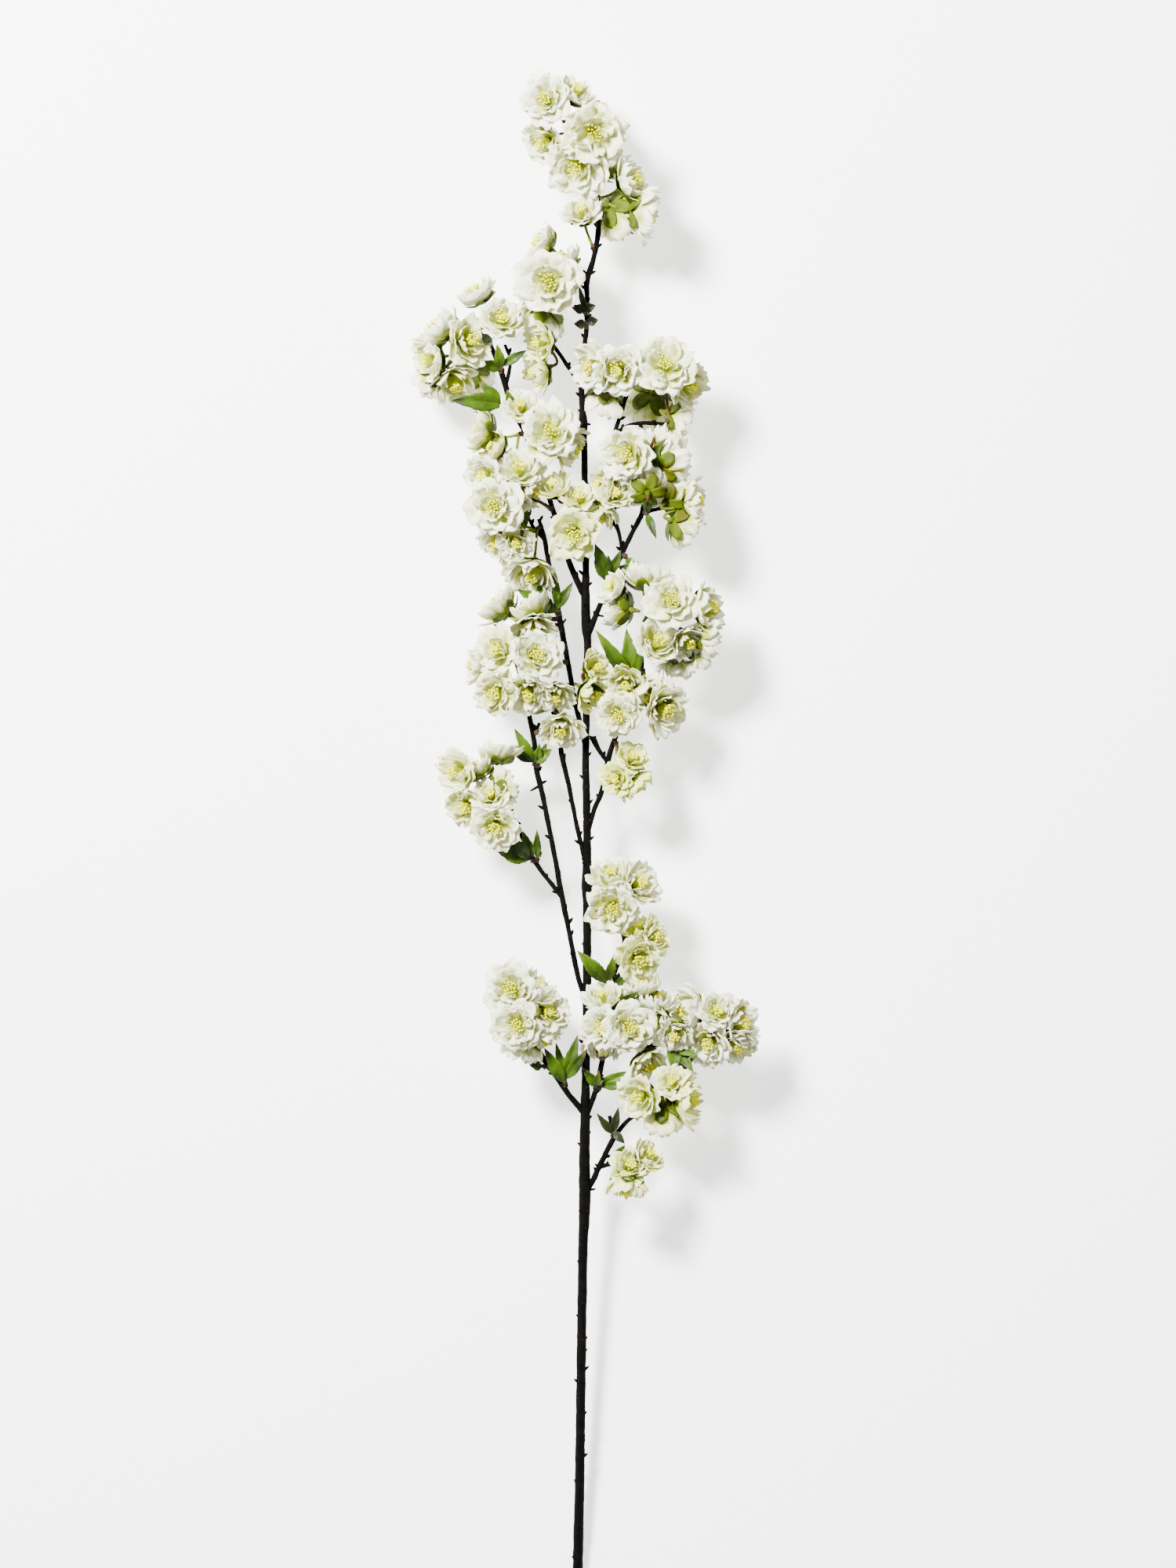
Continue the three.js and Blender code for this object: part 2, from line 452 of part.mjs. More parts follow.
// A bloom on its stalk: a thin curved stalk, the calyx cup, five outer petals that meet in notches, a crown
// of inner petals set between them, and a low middle. A full bloom has round petal ends and a valley between
// its two rings of petals.
function flowerSolid(bloom, grow) {
  const { axis, centre, radius, shape } = bloom;
  const side = Math.abs(axis.x) < 0.9 ? new THREE.Vector3(1, 0, 0) : new THREE.Vector3(0, 1, 0);
  side.addScaledVector(axis, -side.dot(axis)).normalize();
  const other = axis.clone().cross(side);
  const shell = new Shell();
  const ringOf = (marks, offset) => {
    const points = marks.map(([turn, out, up]) => {
      const angle = (turn + bloom.spin) * Math.PI * 2;
      const reach = out === 0 ? 0 : out * radius + grow;
      return centre
        .clone()
        .addScaledVector(side, reach * Math.cos(angle))
        .addScaledVector(other, reach * Math.sin(angle))
        .addScaledVector(axis, up * radius + offset);
    });
    return shell.ring(points, marks.map(([turn]) => turn));
  };
  const frames = framesAlong(bloom.stalk);
  const rings = frames.map((frame) => shell.ring(circleAbout(frame, STALK_RADIUS + grow, STALK_SIDES)));
  const calyx = bloom.reach.map((_, petal) => [petal / PETALS, bloom.cup / radius, shape.back]);
  const { rim, valley, crown } = petalRings(bloom);
  rings.push(ringOf(calyx, -grow), ringOf(rim, -grow));
  if (grow > 0) rings.push(ringOf(rim, grow));
  if (bloom.full) rings.push(ringOf(valley, grow));
  rings.push(ringOf(crown, grow), ringOf([[0, 0, shape.middle]], grow));
  shell.cap(rings[0], true);
  for (let index = 1; index < rings.length; index += 1) shell.join(rings[index - 1], rings[index]);
  return shell.solid();
}

const lineOf = (points, width) => points.map((point) => ({ point, width }));
const stalkSolid = (bloom, grow) => limbSolid(lineOf(bloom.stalk, STALK_RADIUS * 2), STALK_SIDES, grow);

// The knot of bud scales that a bunch's stalks grow from: a short peg that stands just off the wood.
function layOutPeg(wood, aims, length) {
  const middle = aims.reduce((sum, aim) => sum.add(aim), new THREE.Vector3()).divideScalar(aims.length);
  const ahead = middle.sub(wood.point).normalize();
  const along = (distance) => wood.point.clone().addScaledVector(ahead, wood.width / 2 + distance);
  return { start: along(CLEARANCE), end: along(length) };
}

function pegSolid({ start, end }, grow) {
  const line = [{ point: start, width: PEG_WIDTH }, { point: end, width: PEG_TOP_WIDTH }];
  return limbSolid(line, TWIG_SIDES, grow);
}

// Leaf outlines: how far along each edge point lies, and how much of the half width it reaches. The steps
// back towards the rib are the teeth.
const LARGE_EDGE = [[0.3, 1], [0.37, 0.82], [0.6, 0.84], [0.67, 0.6], [0.85, 0.38]];
const SMALL_EDGE = [[0.4, 1], [0.66, 0.8], [0.72, 0.5]];
const LARGE_LEAF = 8;
const FOLD = 0.35;
const ARCH = 0.1;
const RIB_STEPS = [0.45];

// A leaf: two halves folded up from the rib, arched along its length, with toothed edges.
function leafSolid(root, tip, width, grow) {
  const length = root.distanceTo(tip);
  const ahead = tip.clone().sub(root).normalize();
  const across = new THREE.Vector3(0, 0, 1).cross(ahead).normalize();
  const up = ahead.clone().cross(across);
  const edge = width >= LARGE_LEAF ? LARGE_EDGE : SMALL_EDGE;
  const spot = (share, out, offset) =>
    root
      .clone()
      .addScaledVector(ahead, share * length)
      .addScaledVector(across, out)
      .addScaledVector(up, ARCH * length * Math.sin(share * Math.PI) + Math.abs(out) * FOLD + offset);
  const shell = new Shell();
  const chain = (marks, offset) => {
    const points = marks.map(([share, out]) => spot(share, out, offset));
    return shell.ring(points, marks.map(([share]) => share));
  };
  const half = width / 2 + grow;
  const surface = (offset) => {
    const [base, end] = chain([[0, 0], [1, 0]], offset);
    const rib = [base, ...chain(RIB_STEPS.map((share) => [share, 0]), offset), end];
    const left = [base, ...chain(edge.map(([share, out]) => [share, out * half]), offset), end];
    const right = [base, ...chain(edge.map(([share, out]) => [share, -out * half]), offset), end];
    return { rib, left, right };
  };
  const top = surface(LEAF_THICKNESS / 2 + grow);
  const bottom = surface(-LEAF_THICKNESS / 2 - grow);
  shell.zip(top.rib, top.left);
  shell.zip(top.right, top.rib);
  shell.zip(bottom.left, bottom.rib);
  shell.zip(bottom.rib, bottom.right);
  shell.zip(top.left, bottom.left);
  shell.zip(bottom.right, top.right);
  return shell.solid();
}

// A tuft: a small bud on the wood, with its leaves growing out of it one above the other.
function layOutTuft({ root: [across, down], leaves }) {
  const wood = onWood(across, down);
  const tips = leaves.map(([tipAcross, tipDown, rise]) => place(tipAcross, tipDown, wood.point.z + rise));
  const peg = layOutPeg(wood, tips, TUFT_PEG);
  return {
    peg,
    leaves: leaves.map(([, , , width], index) => {
      const share = LEAVES_START + (LEAVES_SPAN * (index + 0.5)) / leaves.length;
      return { root: peg.start.clone().lerp(peg.end, share), tip: tips[index], width };
    }),
  };
}

const tuftSolid = ({ peg, leaves }, grow) =>
  joined([pegSolid(peg, grow), ...leaves.map(({ root, tip, width }) => leafSolid(root, tip, width, grow))]);

const joined = (solids) => wasm.Manifold.union(solids);

// The separate bodies of a solid, largest first. Hollows that joining has sealed are left filled.
const bodiesOf = (solid) =>
  solid
    .decompose()
    .flatMap((body) => body.simplify(SLIVER).decompose())
    .filter((body) => body.volume() > 0)
    .sort((one, two) => two.volume() - one.volume());

function closedSolidFrom(geometry) {
  const bare = geometry.clone();
  bare.deleteAttribute("normal");
  bare.deleteAttribute("uv");
  const merged = mergeVertices(bare);
  return new wasm.Manifold(
    new wasm.Mesh({
      numProp: 3,
      vertProperties: new Float32Array(merged.attributes.position.array),
      triVerts: new Uint32Array(merged.index.array),
    }),
  );
}

function meshFrom(name, solid, material) {
  const { vertProperties, triVerts } = solid.getMesh();
  const geometry = new THREE.BufferGeometry();
  geometry.setAttribute("position", new THREE.BufferAttribute(vertProperties, 3));
  geometry.setIndex(new THREE.BufferAttribute(triVerts, 1));
  const mesh = new THREE.Mesh(geometry, material);
  mesh.name = name;
  return mesh;
}

// The surface that the spray lies on cuts off whatever would reach below it, as pressed petals do.
const SURFACE_BLOCK = new THREE.BoxGeometry(1000, 2000, 100).translate(0, 0, -50);
const surface = closedSolidFrom(SURFACE_BLOCK);

const spray = new THREE.Group();
const limbs = growWood();
const woodOnly = joined(limbs.map(({ line, sides }) => limbSolid(line, sides, 0)));
const grownWood = joined(limbs.map(({ line, sides }) => limbSolid(line, sides, CLEARANCE)));

// Each bunch holds the blooms of one knot. Its stalks keep whole, and its petals give way to the wood, to
// the stalks of other bunches and to the petals of those made before it.
const bunches = [];
for (const [letter, { knots, blooms }] of Object.entries(BUNCHES)) {
  knots.forEach(([across, down], knot) => {
    const rows = blooms.filter((row) => row[6] === knot);
    const wood = onWood(across, down);
    const peg = layOutPeg(wood, rows.map((row) => place(...row)), BLOOM_PEG);
    const root = peg.start.clone().lerp(peg.end, STALKS_START);
    const flowers = rows.map((row) => layOutBloom(row, root));
    const stalks = flowers.map((bloom) => stalkSolid(bloom, CLEARANCE));
    bunches.push({
      name: knots.length > 1 ? `bunch_${letter}${knot + 1}` : `bunch_${letter}`,
      solid: joined([pegSolid(peg, 0), ...flowers.map((bloom) => flowerSolid(bloom, 0))]),
      grown: joined([pegSolid(peg, CLEARANCE), ...flowers.map((bloom) => flowerSolid(bloom, CLEARANCE))]),
      stalks: joined([pegSolid(peg, CLEARANCE), ...stalks]),
    });
  });
}

const meets = (one, two) => {
  const first = one.boundingBox();
  const second = two.boundingBox();
  return [0, 1, 2].every((axis) => first.min[axis] < second.max[axis] && second.min[axis] < first.max[axis]);
};

bunches.forEach((bunch, index) => {
  const inTheWay = bunches
    .filter((other) => other !== bunch && meets(other.grown, bunch.solid))
    .map((other) => (bunches.indexOf(other) < index ? other.grown : other.stalks));
  let solid = bunch.solid.subtract(grownWood).subtract(surface);
  if (inTheWay.length > 0) solid = solid.subtract(joined(inTheWay).subtract(bunch.stalks));
  spray.add(meshFrom(bunch.name, bodiesOf(solid)[0], PETAL));
});

spray.add(meshFrom("wood", bodiesOf(woodOnly.subtract(surface))[0], BARK));

for (const [name, tuft] of Object.entries(TUFTS)) {
  const leaves = tuftSolid(layOutTuft(tuft), 0);
  const inTheWay = bunches.filter((other) => meets(other.grown, leaves)).map((other) => other.grown);
  const solid = leaves.subtract(joined([grownWood, ...inTheWay]));
  spray.add(meshFrom(`leaves_${name}`, bodiesOf(solid)[0], LEAF));
}

export default spray;
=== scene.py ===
import math
import random

import bmesh
import bpy
from mathutils import Matrix, Vector, noise


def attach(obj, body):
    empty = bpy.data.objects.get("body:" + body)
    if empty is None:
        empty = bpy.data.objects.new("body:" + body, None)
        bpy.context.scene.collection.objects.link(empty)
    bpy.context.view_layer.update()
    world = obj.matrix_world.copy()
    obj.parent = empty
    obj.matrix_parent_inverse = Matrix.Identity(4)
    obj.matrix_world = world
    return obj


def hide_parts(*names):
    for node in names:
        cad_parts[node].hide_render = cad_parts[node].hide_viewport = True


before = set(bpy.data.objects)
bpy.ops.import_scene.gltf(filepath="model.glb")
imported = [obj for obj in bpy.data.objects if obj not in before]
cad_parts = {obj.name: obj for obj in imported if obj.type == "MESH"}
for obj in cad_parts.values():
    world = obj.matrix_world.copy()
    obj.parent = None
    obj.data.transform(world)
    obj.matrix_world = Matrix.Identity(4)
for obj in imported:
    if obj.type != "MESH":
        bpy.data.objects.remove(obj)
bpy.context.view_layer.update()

# The picture's frame, and the camera. The spray lies on the floor and the camera looks straight down on it.
# A pixel of the picture covers PIXEL metres at the height of the blooms.
PIXEL = 0.0006
MIDDLE_ACROSS = 745.73
MIDDLE_DOWN = 1099.23
PICTURE_WIDTH = 1500
PICTURE_HEIGHT = 2000
BLOOM_PLANE = 0.055
CAMERA_DISTANCE = 5.0
SENSOR = 36.0


def place(across, down, height_mm):
    x = (across - MIDDLE_ACROSS) * PIXEL
    y = (MIDDLE_DOWN - down) * PIXEL
    return Vector((x, y, height_mm / 1000))


camera_data = bpy.data.cameras.new("camera")
camera_data.sensor_width = SENSOR
camera_data.lens = SENSOR * CAMERA_DISTANCE / (PICTURE_HEIGHT * PIXEL)
camera_data.clip_end = 50
camera = bpy.data.objects.new("camera", camera_data)
camera.location = place(PICTURE_WIDTH / 2, PICTURE_HEIGHT / 2, (BLOOM_PLANE + CAMERA_DISTANCE) * 1000)
bpy.context.collection.objects.link(camera)
bpy.context.scene.camera = camera


# Shader maths written as Python: a Socket wraps an output of a node, and its operators add Math nodes.
class Socket:
    def __init__(self, tree, output):
        self.tree = tree
        self.output = output

    def node(self, kind, settings=None, inputs=None, output=0):
        made = self.tree.nodes.new(kind)
        for key, value in (settings or {}).items():
            setattr(made, key, value)
        for key, value in (inputs or {}).items():
            if isinstance(value, Socket):
                self.tree.links.new(value.output, made.inputs[key])
            else:
                made.inputs[key].default_value = value
        return Socket(self.tree, made.outputs[output])

    def maths(self, operation, *values):
        return self.node("ShaderNodeMath", {"operation": operation}, dict(enumerate(values)))

    def __add__(self, other):
        return self.maths("ADD", self, other)

    def __sub__(self, other):
        return self.maths("SUBTRACT", self, other)

    def __rsub__(self, other):
        return self.maths("SUBTRACT", other, self)

    def __mul__(self, other):
        return self.maths("MULTIPLY", self, other)

    def __abs__(self):
        return self.maths("ABSOLUTE", self)

    __radd__ = __add__
    __rmul__ = __mul__

    def fraction(self):
        return self.maths("FRACT", self)

    def band(self, low, high):
        inputs = {"Value": self, "From Min": low, "From Max": high}
        return self.node("ShaderNodeMapRange", {"interpolation_type": "SMOOTHSTEP"}, inputs)

    def blend(self, first, second):
        """The first colour where this value is 0, and the second where it is 1."""
        return self.node("ShaderNodeMix", {"data_type": "RGBA"}, {0: self, 6: first, 7: second}, output=2)


class Finish:
    """A material under the name of the finish, with its Principled shader and coordinates at hand."""

    def __init__(self, name, roughness, **constants):
        self.material = bpy.data.materials.new(name)
        self.material.use_nodes = True
        self.tree = self.material.node_tree
        self.shader = self.tree.nodes["Principled BSDF"]
        self.shader.inputs["Roughness"].default_value = roughness
        for key, value in constants.items():
            self.shader.inputs[key.replace("_", " ")].default_value = value
        coordinates = self.tree.nodes.new("ShaderNodeTexCoord")
        self.object = Socket(self.tree, coordinates.outputs["Object"])
        self.uv = Socket(self.tree, coordinates.outputs["UV"])

    def feed(self, name, socket):
        self.tree.links.new(socket.output, self.shader.inputs[name])

    def noise(self, scale, detail=3.0, roughness=0.5, vector=None):
        inputs = {"Vector": vector or self.object, "Scale": scale, "Detail": detail, "Roughness": roughness}
        return self.object.node("ShaderNodeTexNoise", None, inputs)

    def stretched(self, vector, scale):
        return self.object.node("ShaderNodeMapping", None, {"Vector": vector, "Scale": scale})

    def axes(self, vector):
        split = self.object.node("ShaderNodeSeparateXYZ", None, {0: vector})
        outputs = split.output.node.outputs
        return [Socket(self.tree, outputs[index]) for index in range(3)]

    def attribute(self, name):
        return self.object.node("ShaderNodeAttribute", {"attribute_name": name}, None, output=2)

    def let_light_through(self, share, tint):
        """Mixes some Translucent shader into the surface, as thin petals show the light behind them."""
        glow = self.tree.nodes.new("ShaderNodeBsdfTranslucent")
        glow.inputs["Color"].default_value = tint
        mixed = self.tree.nodes.new("ShaderNodeMixShader")
        mixed.inputs[0].default_value = share
        self.tree.links.new(self.shader.outputs[0], mixed.inputs[1])
        self.tree.links.new(glow.outputs[0], mixed.inputs[2])
        self.tree.links.new(mixed.outputs[0], self.tree.nodes["Material Output"].inputs["Surface"])

    def bump(self, height, strength, distance):
        inputs = {"Height": height, "Strength": strength, "Distance": distance}
        self.feed("Normal", self.object.node("ShaderNodeBump", None, inputs))


def colour(red, green, blue):
    """A picture colour, 0 to 255, as the linear colour that shaders take."""
    linear = [channel / 12.92 if channel <= 0.04045 else ((channel + 0.055) / 1.055) ** 2.4
              for channel in (red / 255, green / 255, blue / 255)]
    return (*linear, 1.0)


# The surface that the branch lies on: a plain pale sheet, a little below its lowest petals. One soft light
# stands high at the upper left, with a wide weak fill on the right and a white surround.
FLOOR_SIZE = 12.0
FLOOR_GAP = 0.0002
FLOOR_GLOW = 1.8
SURROUND_GLOW = 0.32

floor_finish = Finish("pale floor", 0.9)
floor_tone = floor_finish.noise(0.8, 2.0).band(0.2, 0.8)
floor_finish.feed("Base Color", floor_tone.blend(colour(246, 246, 246), colour(250, 250, 250)))
floor_finish.shader.inputs["Emission Color"].default_value = (1, 1, 1, 1)
floor_finish.shader.inputs["Emission Strength"].default_value = FLOOR_GLOW
floor_mesh = bpy.data.meshes.new("floor")
shape = bmesh.new()
bmesh.ops.create_grid(shape, x_segments=1, y_segments=1, size=FLOOR_SIZE / 2)
bmesh.ops.translate(shape, verts=shape.verts, vec=(0, 0, -FLOOR_GAP))
shape.to_mesh(floor_mesh)
shape.free()
floor = bpy.data.objects.new("floor", floor_mesh)
floor_mesh.materials.append(floor_finish.material)
bpy.context.collection.objects.link(floor)


def soft_light(name, size, power, position, aim=(0, 0.1, 0)):
    data = bpy.data.lights.new(name, "AREA")
    data.size = size
    data.energy = power
    light = bpy.data.objects.new(name, data)
    light.location = position
    light.rotation_euler = (Vector(aim) - Vector(position)).to_track_quat("-Z", "Y").to_euler()
    bpy.context.collection.objects.link(light)


soft_light("key", size=0.7, power=590, position=(-1.3, 1.6, 2.4))
soft_light("fill", size=2.5, power=10, position=(1.8, -0.8, 2.2))
world = bpy.data.worlds.new("white surround")
world.use_nodes = True
world.node_tree.nodes["Background"].inputs["Color"].default_value = (1, 1, 1, 1)
world.node_tree.nodes["Background"].inputs["Strength"].default_value = SURROUND_GLOW
bpy.context.scene.world = world

# The wood: one main stem with its side branches, twigs and broken stubs, thin dark bark over all of it. A
# row is across, down and, on the stem, height in millimetres, then the limb's width in millimetres there.
# The number before a branch's rows is how far its tip rises over its root, in millimetres.
STEM = [
    (735, 2100, 2.7, 6.4), (736, 2050, 2.7, 6.4), (737, 2000, 7, 6.3), (739.5, 1880, 17, 6.0),
    (741.5, 1730, 26, 5.8), (743.5, 1600, 34, 6.0), (745, 1560, 37, 6.6), (746, 1520, 39, 7.4),
    (745.5, 1480, 41, 6.6), (746.5, 1420, 43, 6.0), (747, 1380, 44, 5.1), (748, 1300, 46, 5.1),
    (748.5, 1270, 46.5, 5.4), (749, 1200, 47, 5.1), (749, 1150, 47.5, 5.6), (749, 1130, 47.5, 6.9),
    (749, 1100, 48, 5.4), (748.5, 1040, 48, 4.8), (747, 960, 48, 4.4), (749.5, 830, 49, 4.5),
    (748, 800, 49, 6.0), (746.5, 760, 49, 5.7), (747.5, 720, 49, 4.2), (746, 615, 50, 4.0),
    (745, 560, 50, 4.0), (744, 540, 50, 5.0), (743, 520, 50, 4.0), (741, 480, 50, 3.6),
    (744, 455, 50, 3.2), (748, 420, 50, 3.2), (749, 380, 50, 3.0), (748.5, 358, 50, 3.8),
    (757, 330, 51, 3.4), (763, 295, 51, 3.4), (762, 262, 51, 2.9), (757, 254, 51, 2.6),
    (745, 246, 52, 2.4), (733, 215, 53, 2.3), (727, 175, 54, 2.2),
]
BRANCHES = {
    "low right": (8, [
        (749, 1522, 3.6), (756, 1508, 3.2), (764, 1490, 3.0), (783, 1453, 2.6), (802, 1429, 2.2),
        (820, 1421, 1.8)]),
    "low right twig": (3, [(764, 1490, 2.4), (784, 1487, 2.2), (793, 1505, 2.0)]),
    "low right bud": (4, [(783, 1453, 2.0), (777, 1424, 1.8)]),
    "low left": (8, [
        (744, 1422, 3.6), (727, 1399, 3.2), (710, 1375, 2.8), (698, 1358, 3.0), (685, 1337, 2.4)]),
    "middle right": (8, [
        (748, 1425, 3.4), (759, 1395, 2.8), (768, 1355, 3.0), (775, 1310, 2.6), (780, 1255, 2.6),
        (790, 1225, 2.4), (796, 1200, 2.2), (792, 1186, 2.0)]),
    "middle right side": (2, [
        (770, 1350, 2.6), (788, 1341, 2.4), (820, 1338, 2.4), (853, 1328, 2.2), (880, 1311, 2.0)]),
    "middle right low": (-2, [(820, 1338, 2.2), (836, 1352, 2.0), (850, 1372, 2.0)]),
    "long left": (-6, [
        (745, 1278, 3.2), (737, 1245, 2.8), (726, 1190, 2.6), (717, 1145, 3.0), (706, 1085, 2.6),
        (692, 1015, 2.8), (684, 980, 3.0), (681, 945, 2.8), (672, 900, 2.6)]),
    "long left bud": (3, [(681, 940, 2.0), (688, 922, 1.8)]),
    "left fork": (-4, [
        (717, 1145, 2.6), (697, 1120, 2.4), (684, 1102, 2.6), (666, 1068, 2.6), (650, 1035, 2.4),
        (639, 1022, 2.2)]),
    "inner left": (6, [
        (746, 1108, 2.8), (735, 1050, 2.4), (725, 1000, 2.4), (717, 965, 2.8), (712, 935, 2.4),
        (707, 905, 2.2)]),
    "left arm": (-3, [
        (746, 948, 3.2), (737, 910, 2.8), (727, 860, 2.8), (716, 800, 3.2), (706, 750, 2.8),
        (700, 720, 2.6), (694, 685, 2.6), (687, 661, 2.2)]),
    "left arm scale twig": (5, [(694, 688, 2.0), (680, 672, 1.8), (668, 645, 1.6)]),
    "upper left": (4, [
        (745, 763, 3.4), (728, 722, 3.2), (711, 668, 2.8), (698, 628, 2.8), (684, 592, 2.6),
        (670, 552, 2.8), (652, 520, 2.6), (645, 492, 3.0), (632, 455, 2.6), (626, 441, 2.6)]),
    "upper left red twig": (8, [(646, 492, 2.0), (651, 462, 1.8), (644, 440, 1.6)]),
    "upper left low twig": (6, [(706, 652, 1.9), (684, 638, 1.7), (664, 645, 1.6)]),
    "tip left": (-3, [(742, 492, 2.4), (722, 463, 2.2), (704, 437, 2.0)]),
    "long right": (4, [
        (749, 812, 3.6), (762, 780, 3.0), (776, 745, 2.8), (791, 711, 2.8), (806, 680, 2.6),
        (820, 650, 2.8), (818, 620, 2.4), (800, 590, 2.4), (784, 560, 2.4), (793, 525, 2.2),
        (803, 492, 2.0)]),
    "long right twig": (2, [(786, 551, 2.2), (810, 540, 2.0), (848, 541, 2.0)]),
    "long right side": (4, [(820, 655, 2.2), (845, 648, 2.0), (870, 644, 1.8)]),
    "long right inner": (4, [(795, 706, 2.2), (788, 675, 2.0), (776, 660, 1.8)]),
    "lower right": (-3, [
        (750, 1065, 3.0), (757, 1035, 2.6), (768, 1008, 2.8), (776, 968, 3.0), (784, 943, 2.6),
        (802, 895, 2.6), (818, 857, 2.6), (818, 825, 2.4), (830, 800, 2.4), (847, 790, 2.0)]),
    "lower right bud": (4, [(774, 972, 2.2), (763, 955, 2.4), (756, 940, 3.6)]),
}
# Each stub's root and tip, across and down, and the widths in metres at its root, middle and tip.
STUBS = [
    ((747, 1519), (760, 1518)), ((764, 1490), (759, 1486)), ((720, 1390), (724, 1384)),
    ((763, 1382), (771, 1375)), ((684, 1003), (676, 1009)), ((688, 1000), (697, 996)),
    ((655, 1048), (664, 1051)), ((720, 975), (721, 961)), ((713, 800), (704, 794)),
    ((717, 797), (722, 789)), ((763, 785), (770, 786)), ((790, 714), (784, 718)),
    ((745, 508), (750, 502)), ((747, 540), (753, 541)), ((741, 538), (736, 535)),
    ((748, 352), (744, 344)),
]
STUB_WIDTHS = (0.0026, 0.0022, 0.0014)
STUB_RISE = 1.5
LIMB_STEP = 0.003
STEM_SWELL = 1.26
TWIG_SWELL = 1.5
BARK_ROUGHNESS = 0.0004
BARK_LUMPS = 170.0
LIMB_RESOLUTION = 3

wood_lines = []


def on_wood(across, down):
    """The nearest spot on the wood's centre lines, seen from above, and the limb's width there."""
    wanted = place(across, down, 0).xy
    nearest = None
    for line in wood_lines:
        for (start, start_width), (end, end_width) in zip(line, line[1:]):
            run = end.xy - start.xy
            share = min(max((wanted - start.xy).dot(run) / run.length_squared, 0), 1)
            point = start.lerp(end, share)
            gap = (point.xy - wanted).length
            if nearest is None or gap < nearest[0]:
                nearest = (gap, point, start_width + (end_width - start_width) * share)
    return nearest[1], nearest[2]


def branch_line(rise, rows):
    root, _ = on_wood(*rows[0][:2])
    spots = [place(across, down, 0) for across, down, _ in rows]
    reach = [0.0]
    for before, after in zip(spots, spots[1:]):
        reach.append(reach[-1] + (after - before).length)
    line = [(root, rows[0][2] / 1000)]
    for spot, gone, (_, _, width) in list(zip(spots, reach, rows))[1:]:
        line.append((Vector((spot.x, spot.y, root.z + rise / 1000 * gone / reach[-1])), width / 1000))
    return line


def smooth_line(line, step, swell):
    """More points along a line of (point, width), on a smooth curve, with the widths swelled."""
    points = [line[0], *line, line[-1]]
    fine = []
    for before, start, end, after in zip(points, points[1:], points[2:], points[3:]):
        count = max(2, round((end[0] - start[0]).length / step))
        for index in range(count):
            t = index / count
            spot = 0.5 * (
                2 * start[0]
                + (end[0] - before[0]) * t
                + (2 * before[0] - 5 * start[0] + 4 * end[0] - after[0]) * t**2
                + (3 * start[0] - before[0] - 3 * end[0] + after[0]) * t**3
            )
            fine.append((spot, start[1] + (end[1] - start[1]) * (3 * t**2 - 2 * t**3)))
    fine.append(line[-1])
    return [(spot, width * swell) for spot, width in fine]


def tubes_mesh(name, lines, resolution):
    """One mesh of round tubes, closed at their ends, along lines of (point, width)."""
    curve = bpy.data.curves.new(name, "CURVE")
    curve.dimensions = "3D"
    curve.bevel_depth = 1.0
    curve.bevel_resolution = resolution
    curve.use_fill_caps = True
    for line in lines:
        spline = curve.splines.new("POLY")
        spline.points.add(len(line) - 1)
        for point, (spot, width) in zip(spline.points, line):
            point.co = (*spot, 1.0)
            point.radius = width / 2
    holder = bpy.data.objects.new(name, curve)
    mesh = bpy.data.meshes.new_from_object(holder)
    bpy.data.objects.remove(holder)
    bpy.data.curves.remove(curve)
    mesh.name = name
    return mesh


def closed_and_outward(mesh):
    """Merges the doubles of a mesh of tubes and turns its faces outwards."""
    shape = bmesh.new()
    shape.from_mesh(mesh)
    bmesh.ops.remove_doubles(shape, verts=shape.verts, dist=1e-6)
    bmesh.ops.recalc_face_normals(shape, faces=shape.faces)
    shape.to_mesh(mesh)
    shape.free()


def show(name, mesh, finish, slot, *nodes):
    """Puts a finished mesh in the scene as a piece that rides on the body, in place of the nodes named."""
    mesh.materials.clear()
    mesh.materials.append(finish.material)
    for polygon in mesh.polygons:
        polygon.use_smooth = True
    piece = bpy.data.objects.new(name, mesh)
    bpy.context.collection.objects.link(piece)
    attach(piece, "root")
    if nodes:
        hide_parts(*nodes)
    return piece


stem_line = [(place(across, down, height), width / 1000) for across, down, height, width in STEM]
wood_lines.append(stem_line)
for rise, rows in BRANCHES.values():
    wood_lines.append(branch_line(rise, rows))
limb_lines = [smooth_line(stem_line, LIMB_STEP, STEM_SWELL)]
limb_lines += [smooth_line(line, LIMB_STEP, TWIG_SWELL) for line in wood_lines[1:]]
for spot, tip in STUBS:
    root, _ = on_wood(*spot)
    end = place(*tip, root.z * 1000 + STUB_RISE)
    limb_lines.append(list(zip((root, root.lerp(end, 0.5), end), STUB_WIDTHS)))

bark = Finish("dark bark", 0.85, Specular_IOR_Level=0.06)
grain = bark.noise(120, 6.0, 0.65)
flecks = bark.noise(420, 2.0, 0.5).band(0.70, 0.78)
mottle = grain.band(0.4, 0.75).blend(colour(2, 2, 1), colour(12, 7, 5))
bark.feed("Base Color", (flecks * 0.7).blend(mottle, colour(66, 56, 42)))
bark.bump(grain + flecks * 0.6, 0.7, 0.0006)

# The bark's buds: small pointed scales that stand off the branches here and there, turned towards the tips.
# They are of the same dark bark, and one piece with the wood.
BUD_EVERY = 0.011
FIRST_BUD = (0.3, 0.8)
BUD_GAPS = (0.6, 1.4)
BUD_TAPER = 0.35
BUD_LENGTH = (0.0030, 0.0056)
BUD_WIDTH = 0.0027
BUD_LEAN = 38

